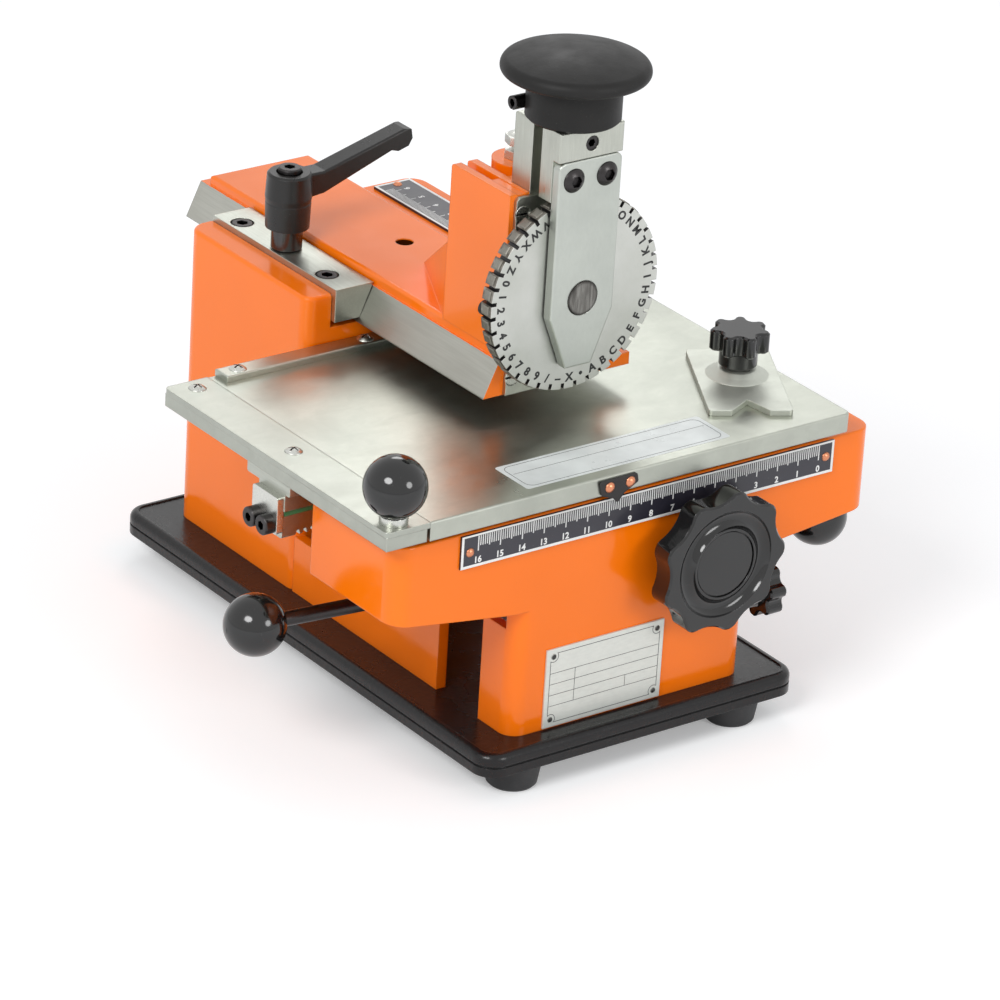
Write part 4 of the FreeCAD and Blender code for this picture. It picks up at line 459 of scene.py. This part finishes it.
# Metals
zinc = galvanised("zinc_plate", srgb(180, 183, 173))
zinc_bright = galvanised("zinc_bright", srgb(171, 174, 165), dark=0.88)
zinc_soft = galvanised("zinc_soft", srgb(196, 199, 190), dark=0.90, rough=(0.44, 0.52))
zinc_small = steel("zinc_fastener", srgb(205, 206, 200), grain_scale=1500, rough=(0.20, 0.32), mottle=0.08,
                   recess=0.0012)
nickel = steel("bright_nickel", srgb(222, 223, 220), grain_scale=600, rough=(0.10, 0.20), mottle=0.05,
               stain=0.05, bump=0.04)
ground = steel("ground_steel", srgb(182, 185, 176), grain=(1, 0.05, 1), grain_scale=1300, rough=(0.26, 0.40))
ground_upright = steel("ground_upright", srgb(184, 186, 177), grain=(1, 1, 0.05), grain_scale=1500,
                       rough=(0.24, 0.38))
# The cover plate's edges are painted brighter still, as a highlight along them.
satin = steel("satin_cover", srgb(184, 188, 181), grain=(1, 1, 0.4), grain_scale=700, rough=(0.28, 0.36),
              mottle=0.06, edge_gain=1.0, stain=0.05, bump=0.02, streak=0.12)
collar_black = steel("collar_black", srgb(84, 82, 82), grain=(1, 1, 0.04), grain_scale=1500,
                     rough=(0.12, 0.24), mottle=0.3, stain=0.1, bump=0.05, streak=0.9)
type_steel = steel("type_steel", srgb(140, 137, 129), grain_scale=2500, rough=(0.30, 0.48), mottle=0.22,
                   stain=0.4)
black_steel = steel("black_steel", srgb(66, 64, 64), grain_scale=1800, rough=(0.22, 0.38), mottle=0.12,
                    stain=0.1, recess=0.003)
iron = steel("machined_iron", srgb(112, 111, 108), grain=(0.06, 1, 1), rough=(0.34, 0.5), mottle=0.12)
brass = steel("brass", srgb(200, 170, 104), grain_scale=1500)
copper = turned("copper", srgb(214, 142, 108), rough=(0.22, 0.34), scale=4000)
axle_face = axle_metal()
wheel_face = wheel_metal()
pin_head = pin_metal()

LOOKS = {
    "base_plate": black_paint, "rubber_feet": rubber, "foot_screws": zinc_small,
    "body_casting": orange_paint, "body_bolts": black_steel, "scale_plate": scale_field,
    "scale_rivets": copper, "name_plate": label_plate, "name_pins": pin_head,
    "arm_ruler": scale_field, "gib_bar": ground, "gib_screws": black_steel,
    "clamp_stud": zinc_small, "shaft_bushes": brass, "rail_bed": iron, "bed_screws": black_steel,
    "lever_pin": zinc_small, "clamp_lever": lever_black, "lever_screw": black_steel,
    "clamp_collar": collar_black, "arm_casting": arm_paint, "retainer_plate": ground_upright,
    "retainer_screws": zinc_small, "stop_screw": zinc_small, "detent_spring": black_steel,
    "stop_nut": zinc_small, "return_spring": black_steel, "press_ram": ground_upright,
    "palm_handle": matt_black, "palm_stud": zinc_small, "cross_pin": black_steel,
    "block_set_screw": black_steel, "cover_plate": satin, "cover_screws": black_steel,
    "wheel_axle": axle_face, "char_wheel": wheel_face, "type_faces": type_steel,
    "table_plate": zinc, "table_strip": zinc_bright, "table_screws": zinc_small, "fence_bar": zinc,
    "table_knob": ball_black, "table_knob_stem": zinc_small, "pointer": black_steel,
    "pointer_rivets": copper, "table_rail": ground, "rail_liner": green, "rack_bar": ground,
    "rack_screws": black_steel, "rack_plates": zinc_small, "clamp_bolt": nickel,
    "handwheel": gloss_black, "hw_shaft": zinc_small, "pinion": ground, "cross_lever": black_steel,
    "lever_balls": ball_black, "lock_plunger": zinc_small, "side_knob": gloss_black,
    "work_clamp": zinc_soft, "clamp_knob": gloss_black,
}


def dress(obj, mat):
    """Give an object one material in its own slots."""
    if not obj.material_slots:
        obj.data.materials.append(mat)
    for s in obj.material_slots:
        s.material = mat


for node_name, node_object in NODES.items():
    dress(node_object, LOOKS[node_name])


# Tools for printed marks and other small pieces
INK = 0.04  # thickness of printed marks, in millimetres
NUMBER_HEIGHT = 2.6
NUMBER_BOLD = 0.03
FONT_CAP = 0.73  # cap height of the built-in font at size 1


def make(name, bm, mat, body):
    """Turn a bmesh into a piece with one material that rides on a body."""
    mesh = bpy.data.meshes.new(name)
    bmesh.ops.recalc_face_normals(bm, faces=bm.faces)
    bm.to_mesh(mesh)
    bm.free()
    obj = bpy.data.objects.new(name, mesh)
    bpy.context.scene.collection.objects.link(obj)
    mesh.materials.append(mat)
    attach(obj, body)
    return obj


def add_box(bm, x0, x1, y0, y1, z0, z1):
    """A thin box in machine millimetres."""
    outline = ((x0, y0), (x1, y0), (x1, y1), (x0, y1))
    corners = [bm.verts.new(at(x, y, z)) for z in (z0, z1) for x, y in outline]
    for f in ((0, 1, 2, 3), (4, 5, 6, 7), (0, 1, 5, 4), (1, 2, 6, 5), (2, 3, 7, 6), (3, 0, 4, 7)):
        bm.faces.new([corners[i] for i in f])


def add_dot(bm, spot, radius, sides=12):
    """A printed dot that faces the front."""
    x, y, z = spot
    turns = [2 * math.pi * i / sides for i in range(sides)]
    outline = [(x + radius * math.cos(a), z + radius * math.sin(a)) for a in turns]
    front = [bm.verts.new(at(u, y - INK / 2, v)) for u, v in outline]
    back = [bm.verts.new(at(u, y + INK / 2, v)) for u, v in outline]
    bm.faces.new(front)
    bm.faces.new(back)
    for i in range(sides):
        j = (i + 1) % sides
        bm.faces.new((front[i], front[j], back[j], back[i]))


glyphs = {}


def glyph(text, bold):
    """Mesh of a character centred on the origin, with a cap height and a thickness of 1."""
    key = (text, bold)
    if key not in glyphs:
        curve = bpy.data.curves.new("glyph", "FONT")
        curve.body = text
        curve.align_x = "CENTER"
        curve.size = 1.0
        curve.offset = bold
        curve.extrude = 0.5
        curve.resolution_u = 3
        obj = bpy.data.objects.new("glyph", curve)
        bpy.context.scene.collection.objects.link(obj)
        bpy.context.view_layer.update()
        mesh = bpy.data.meshes.new_from_object(obj.evaluated_get(bpy.context.evaluated_depsgraph_get()))
        bpy.data.objects.remove(obj)
        centred = Matrix.Translation((0, -FONT_CAP / 2, 0))
        mesh.transform(Matrix.Diagonal((1 / FONT_CAP, 1 / FONT_CAP, 1, 1)) @ centred)
        glyphs[key] = mesh
    return glyphs[key]


def add_text(bm, text, height, matrix, thick, bold=0.0):
    """Text of a cap height, on a plane given by a matrix, all in machine millimetres."""
    copy = glyph(text, bold).copy()
    copy.transform(Matrix.Diagonal((height, height, thick, 1)))
    copy.transform(matrix)
    copy.transform(Matrix.Translation(ORIGIN))
    copy.transform(Matrix.Scale(0.001, 4))
    bm.from_mesh(copy)
    bpy.data.meshes.remove(copy)


def plane(origin, right, up):
    """Matrix whose X is right, Y is up and Z is the way the plane faces."""
    r, u = Vector(right).normalized(), Vector(up).normalized()
    n = r.cross(u)
    rows = [(r[i], u[i], n[i], origin[i]) for i in range(3)]
    return Matrix((*rows, (0, 0, 0, 1)))


MITRE_LIMIT = 0.2  # keeps a line's sharp corners from growing long


def add_line(bm, points, width, place_at, closed=True):
    """A flat printed line along points in a plane, width to each side of them.

    place_at(u, v, w) gives the machine point at u, v in the plane and w above it.
    """
    count = len(points)
    rows = []
    for i in range(count):
        here = Vector(points[i])
        back = Vector(points[(i - 1) % count]) if closed or i > 0 else here - (Vector(points[1]) - here)
        ahead = Vector(points[(i + 1) % count]) if closed or i < count - 1 else here + (here - back)
        d0, d1 = (here - back).normalized(), (ahead - here).normalized()
        side = Vector((-d0.y - d1.y, d0.x + d1.x))
        side = side / max(side.length_squared, MITRE_LIMIT) * width
        rows.append([bm.verts.new(at(*place_at(here.x + k * side.x, here.y + k * side.y, w)))
                     for w in (0, INK) for k in (-1, 1)])
    for i in range(count if closed else count - 1):
        a, b = rows[i], rows[(i + 1) % count]
        for k, j in ((0, 1), (1, 3), (3, 2), (2, 0)):
            bm.faces.new((a[k], a[j], b[j], b[k]))
    if not closed:
        for r in (rows[0], rows[-1]):
            bm.faces.new((r[0], r[1], r[3], r[2]))


def rounded(x0, x1, y0, y1, radius, steps=6):
    """Rectangle with rounded corners."""
    out = []
    for cx, cy, turn in ((x1 - radius, y1 - radius, 0), (x0 + radius, y1 - radius, 90),
                         (x0 + radius, y0 + radius, 180), (x1 - radius, y0 + radius, 270)):
        for i in range(steps + 1):
            t = math.radians(90.0 * i / steps + turn)
            out.append((cx + radius * math.cos(t), cy + radius * math.sin(t)))
    return out


def notched(x0, x1, y0, y1, inset, radius, steps=8):
    """Rectangle whose corners curve inward round a pin set in from each corner."""
    out = []
    reach = math.degrees(math.asin(inset / radius))
    for cx, cy, turn in ((x1 - inset, y1 - inset, 180), (x0 + inset, y1 - inset, 270),
                         (x0 + inset, y0 + inset, 0), (x1 - inset, y0 + inset, 90)):
        for i in range(steps + 1):
            t = math.radians(turn + 90 + reach - (90 + 2 * reach) * i / steps)
            out.append((cx + radius * math.cos(t), cy + radius * math.sin(t)))
    return out[::-1]


def by_tick(mm, long, middle, short):
    """The value for a centimetre's, half a centimetre's or a millimetre's tick."""
    if mm % 10 == 0:
        return long
    return middle if mm % 5 == 0 else short


# The pieces, each with its own function
def front_scale():
    """Border, millimetre ticks and centimetre numbers of the scale on the cross beam."""
    back = SCALE_FACE_Y
    front = back - INK
    length_mm, number_z = 160, -2.5
    side, top = 1.1, 0.8
    inner_z0, inner_z1 = SCALE_Z0 + side, SCALE_Z1 - top
    tick_top = SCALE_Z1 - 0.9
    bm = bmesh.new()
    add_box(bm, SCALE_X0, SCALE_X1, front, back, SCALE_Z0, inner_z0)
    add_box(bm, SCALE_X0, SCALE_X1, front, back, inner_z1, SCALE_Z1)
    add_box(bm, SCALE_X0, SCALE_X0 + side, front, back, inner_z0, inner_z1)
    add_box(bm, SCALE_X1 - side, SCALE_X1, front, back, inner_z0, inner_z1)
    for mm in range(length_mm + 1):
        half = by_tick(mm, 0.26, 0.26, 0.22)
        tick_foot = by_tick(mm, 0.9, 2.2, 2.9)
        add_box(bm, -mm - half, -mm + half, front, back, tick_foot, tick_top)
    for cm in range(length_mm // 10 + 1):
        number_plane = plane((-10.0 * cm, front + INK / 2, number_z), (1, 0, 0), (0, 0, 1))
        add_text(bm, str(cm), NUMBER_HEIGHT, number_plane, INK, NUMBER_BOLD)
    make("scale_marks", bm, white_ink, "frame")


def cheek_ruler():
    """Border, ticks and numbers of the ruler beside the arm."""
    (x0, y0, _), (x1, y1, face) = box_mm("arm_ruler")
    top = face + INK
    border = 1.2
    tick_x = x0 + border + 0.3
    tick_half = 0.2
    number_x = x0 + border + 9.2
    start_gap, end_gap = 6.5, 5.5
    bm = bmesh.new()
    add_box(bm, x0, x0 + border, y0, y1, face, top)
    add_box(bm, x1 - border, x1, y0, y1, face, top)
    add_box(bm, x0 + border, x1 - border, y0, y0 + border, face, top)
    add_box(bm, x0 + border, x1 - border, y1 - border, y1, face, top)
    start = y0 + start_gap
    length_mm = int(y1 - start - end_gap)
    for mm in range(length_mm + 1):
        y = start + mm
        tick_end = tick_x + by_tick(mm, 6.2, 5.0, 3.8)
        add_box(bm, tick_x, tick_end, y - tick_half, y + tick_half, face, top)
    for cm in range(length_mm // 10 + 1):
        number_plane = plane((number_x, start + 10.0 * cm, face + INK / 2), (0, 1, 0), (-1, 0, 0))
        add_text(bm, str(cm), NUMBER_HEIGHT, number_plane, INK, NUMBER_BOLD)
    make("ruler_marks", bm, white_ink, "frame")


# Characters in order from the lowest one, turning towards the right side of the machine
WHEEL_ORDER = list(".ABCDEFGHIJKLMNOPQRSTUVWXYZ0123456789/\u2013X")
FIRST_ANGLE = -81
LETTER_RADIUS, LETTER_HEIGHT, LETTER_BOLD = 34.0, 3.35, 0.042
TYPE_RADIUS, TYPE_BACK, TYPE_HEIGHT, TYPE_RAISED = 39.2, 3.1, 2.5, 0.10
DOT_RADIUS, DOT_TYPE_HEIGHT = 0.8, 1.4


def wheel_text():
    """Printed characters round the wheel's face, and a raised one on each rim block."""
    face_y = box_mm("char_wheel")[0][1]
    cx, _, cz = [v * 1000 - o for v, o in zip(WHEEL_CENTRE, ORIGIN)]
    to_back = Vector((0, 1, 0))
    letters, raised = bmesh.new(), bmesh.new()
    for i, text in enumerate(WHEEL_ORDER):
        a = math.radians(FIRST_ANGLE + 360 // len(WHEEL_ORDER) * i)
        out = Vector((math.cos(a), 0, math.sin(a)))
        spot = (cx + LETTER_RADIUS * out.x, face_y - INK / 2, cz + LETTER_RADIUS * out.z)
        pad = (cx + TYPE_RADIUS * out.x, face_y + TYPE_BACK, cz + TYPE_RADIUS * out.z)
        pad_plane = plane(pad, to_back, out.cross(to_back))
        if text == ".":
            add_dot(letters, spot, DOT_RADIUS)
            add_text(raised, "o", DOT_TYPE_HEIGHT, pad_plane, TYPE_RAISED)
        else:
            add_text(letters, text, LETTER_HEIGHT, plane(spot, to_back.cross(-out), -out), INK, LETTER_BOLD)
            add_text(raised, text, TYPE_HEIGHT, pad_plane, TYPE_RAISED)
    make("wheel_letters", letters, black_ink, "wheel")
    make("rim_type", raised, type_steel, "wheel")


def name_plate_lines():
    """Border and empty ruled table of the nameplate."""
    (x0, face_y, z0), (x1, _, z1) = box_mm("name_plate")
    margin, pin_inset, notch_r = 1.9, 3.2, 2.2
    border_half, rule_half = 0.22, 0.18
    left, right = x0 + margin, x1 - margin

    def on_plate(u, v, w):
        return u, face_y - w, v

    bm = bmesh.new()
    corners = notched(left, right, z0 + margin, z1 - margin, pin_inset - margin, notch_r)
    add_line(bm, corners, border_half, on_plate)
    rows = [z0 + (z1 - z0) * k for k in (0.27, 0.41, 0.55, 0.69)]
    for z in rows:
        add_line(bm, [(left, z), (right, z)], rule_half, on_plate, closed=False)
    for share, top_row in ((0.23, rows[3]), (0.70, rows[1])):
        x = left + (x1 - x0 - 2 * margin) * share
        add_line(bm, [(x, rows[0]), (x, top_row)], rule_half, on_plate, closed=False)
    make("name_plate_lines", bm, grey_ink, "frame")


def table_label():
    """Thin blank label on the table with a rounded outline and one rule."""
    x0, x1, y0, y1 = -137.0, -42.0, 1.5, 22.5
    film = 0.06
    film_corner, outline_corner = 1.2, 3.2
    outline_half, rule_half = 0.20, 0.16
    table_z = box_mm("table_plate")[1][2]

    def on_label(u, v, w):
        return u, v, table_z + film + w

    bm = bmesh.new()
    ring = rounded(x0, x1, y0, y1, film_corner)
    lower = [bm.verts.new(at(x, y, table_z)) for x, y in ring]
    upper = [bm.verts.new(at(x, y, table_z + film)) for x, y in ring]
    bm.faces.new(lower)
    bm.faces.new(upper)
    for i in range(len(ring)):
        j = (i + 1) % len(ring)
        bm.faces.new((lower[i], lower[j], upper[j], upper[i]))
    make("table_label", bm, label_film, "table")
    bm = bmesh.new()
    outline = rounded(x0 + 2.0, x1 - 2.0, y0 + 1.6, y1 - 1.6, outline_corner)
    add_line(bm, outline, outline_half, on_label)
    add_line(bm, [(x0 + 3.0, y1 - 8.0), (x1 - 3.0, y1 - 8.0)], rule_half, on_label, closed=False)
    make("table_label_lines", bm, grey_ink, "table")


SPRING_TURNS = 7
SPRING_STEPS = 32
WIRE_HALF = 0.00055


def spring_coil():
    """Square-wire return spring built in place of the rigid solid, which is hidden."""
    low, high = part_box("return_spring")
    length = high.z - low.z
    centre = (low + high) / 2
    radius = (high.x - low.x) / 2 - WIRE_HALF
    bottom, rise = low.z + WIRE_HALF, length - 2 * WIRE_HALF
    count = SPRING_TURNS * SPRING_STEPS
    bm = bmesh.new()
    rings = []
    for i in range(count + 1):
        a = 2 * math.pi * i / SPRING_STEPS
        z = bottom + rise * i / count
        ring = []
        for out, up in ((-1, -1), (1, -1), (1, 1), (-1, 1)):
            r = radius + out * WIRE_HALF
            corner = (centre.x + r * math.cos(a), centre.y + r * math.sin(a), z + up * WIRE_HALF)
            ring.append(bm.verts.new(corner))
        rings.append(ring)
    for a, b in zip(rings, rings[1:]):
        for k in range(4):
            bm.faces.new((a[k], a[(k + 1) % 4], b[(k + 1) % 4], b[k]))
    bm.faces.new(rings[0])
    bm.faces.new(rings[-1])
    coil = make("return_spring_coil", bm, black_steel, "arm")
    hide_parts("return_spring")
    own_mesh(coil)


front_scale()
cheek_ruler()
wheel_text()
name_plate_lines()
table_label()
spring_coil()


# Floor and background, which read white to the camera and in reflections
FLOOR_HALF = 6
FLOOR_LIFT = 0.24


def seen(nt):
    """1 for what the camera, a reflection or a transmission sees directly, 0 for light on the object."""
    path = nt.nodes.new("ShaderNodeLightPath")
    value = path.outputs["Is Camera Ray"]
    for ray in ("Is Glossy Ray", "Is Transmission Ray"):
        m = nt.nodes.new("ShaderNodeMath")
        m.operation = "MAXIMUM"
        nt.links.new(value, m.inputs[0])
        nt.links.new(path.outputs[ray], m.inputs[1])
        value = m.outputs[0]
    return value


def floor_material():
    """Pale floor that keeps the shadow, lifted a little where it is seen."""
    t = Tree("floor", specular=0.1)
    pale = t.ramp(t.noise(3, detail=2.0), (0.3, (0.86, 0.86, 0.86)), (0.7, (0.88, 0.88, 0.88)))
    mat = t.finish(pale, 0.9)
    lift = t.node("Emission")
    lift.inputs["Strength"].default_value = FLOOR_LIFT
    no_lift = t.node("Emission")
    no_lift.inputs["Strength"].default_value = 0.0
    pick = t.node("MixShader")
    t.link(seen(t.nt), pick.inputs[0])
    t.link(no_lift.outputs[0], pick.inputs[1])
    t.link(lift.outputs[0], pick.inputs[2])
    both = t.node("AddShader")
    t.link(t.shader.outputs[0], both.inputs[0])
    t.link(pick.outputs[0], both.inputs[1])
    t.link(both.outputs[0], t.out.inputs[0])
    return mat


def lay_floor():
    """Wide floor that the machine stands on."""
    bm = bmesh.new()
    for x, y in ((-1, -1), (1, -1), (1, 1), (-1, 1)):
        bm.verts.new((x * FLOOR_HALF, y * FLOOR_HALF, 0))
    bm.faces.new(bm.verts)
    mesh = bpy.data.meshes.new("floor")
    bm.to_mesh(mesh)
    bm.free()
    floor = bpy.data.objects.new("floor", mesh)
    bpy.context.scene.collection.objects.link(floor)
    dress(floor, floor_material())


def hang_backdrop():
    """World that gives soft light of one strength and is seen as plain white."""
    world = bpy.data.worlds.new("studio")
    bpy.context.scene.world = world
    world.use_nodes = True
    nt = world.node_tree
    nt.nodes.clear()
    out = nt.nodes.new("ShaderNodeOutputWorld")
    mix = nt.nodes.new("ShaderNodeMixShader")
    nt.links.new(seen(nt), mix.inputs[0])
    for i, colour, strength in ((1, (0.95, 0.97, 1.0), 0.62), (2, (1, 1, 1), 1.0)):
        light = nt.nodes.new("ShaderNodeBackground")
        light.inputs["Color"].default_value = (*colour, 1)
        light.inputs["Strength"].default_value = strength
        nt.links.new(light.outputs[0], mix.inputs[i])
    nt.links.new(mix.outputs[0], out.inputs[0])


# Each lamp's place and size in metres, and its power in watts
LAMPS = {
    "key": ((-1.4, -0.6, 1.3), (0.90, 0.66), 17.0),
    "front": ((0.5, -1.9, 0.9), (0.76, 0.70), 9.5),
    "back": ((0.9, 1.2, 1.3), (0.7, 0.5), 4.0),
}
LAMP_AIM = Vector((0.0, 0.0, 0.14))


def hang_lamp(name, place, size, power):
    """Oval lamp that points at the middle of the machine."""
    data = bpy.data.lights.new(name, "AREA")
    data.shape = "ELLIPSE"
    data.size, data.size_y = size
    data.energy = power
    obj = bpy.data.objects.new(name, data)
    obj.location = place
    obj.rotation_mode = "QUATERNION"
    obj.rotation_quaternion = (LAMP_AIM - Vector(place)).to_track_quat("-Z", "Y")
    bpy.context.scene.collection.objects.link(obj)


# The photo's camera, as fitted to the front scale and to long edges, with its angles in degrees.
# Azimuth 0 looks along +Y and grows to the right, the tilt is downward, the roll raises the right side.
PHOTO_PIXELS = 1000
FOCAL_PIXELS = 5823.0
SENSOR_MM = 36.0
CAMERA_AZIMUTH, CAMERA_TILT, CAMERA_ROLL = 37.5991, 25.2194, 3.5646
CAMERA_PLACE = at(-1324.52, -1524.36, 924.94)


def set_camera():
    """Put the photo's camera in place."""
    data = bpy.data.cameras.new("camera")
    data.sensor_width = SENSOR_MM
    data.lens = FOCAL_PIXELS / PHOTO_PIXELS * SENSOR_MM
    data.clip_start = 0.1
    data.clip_end = 30.0
    camera = bpy.data.objects.new("camera", data)
    bpy.context.scene.collection.objects.link(camera)
    turn = Matrix.Rotation(math.radians(-CAMERA_AZIMUTH), 4, "Z")
    tilt = Matrix.Rotation(math.radians(90 - CAMERA_TILT), 4, "X")
    roll = Matrix.Rotation(math.radians(CAMERA_ROLL), 4, "Z")
    camera.matrix_world = Matrix.Translation(CAMERA_PLACE) @ turn @ tilt @ roll
    bpy.context.scene.camera = camera


lay_floor()
hang_backdrop()
for lamp_name, (place, size, power) in LAMPS.items():
    hang_lamp(lamp_name, place, size, power)
set_camera()
bpy.context.scene.view_settings.view_transform = "Standard"
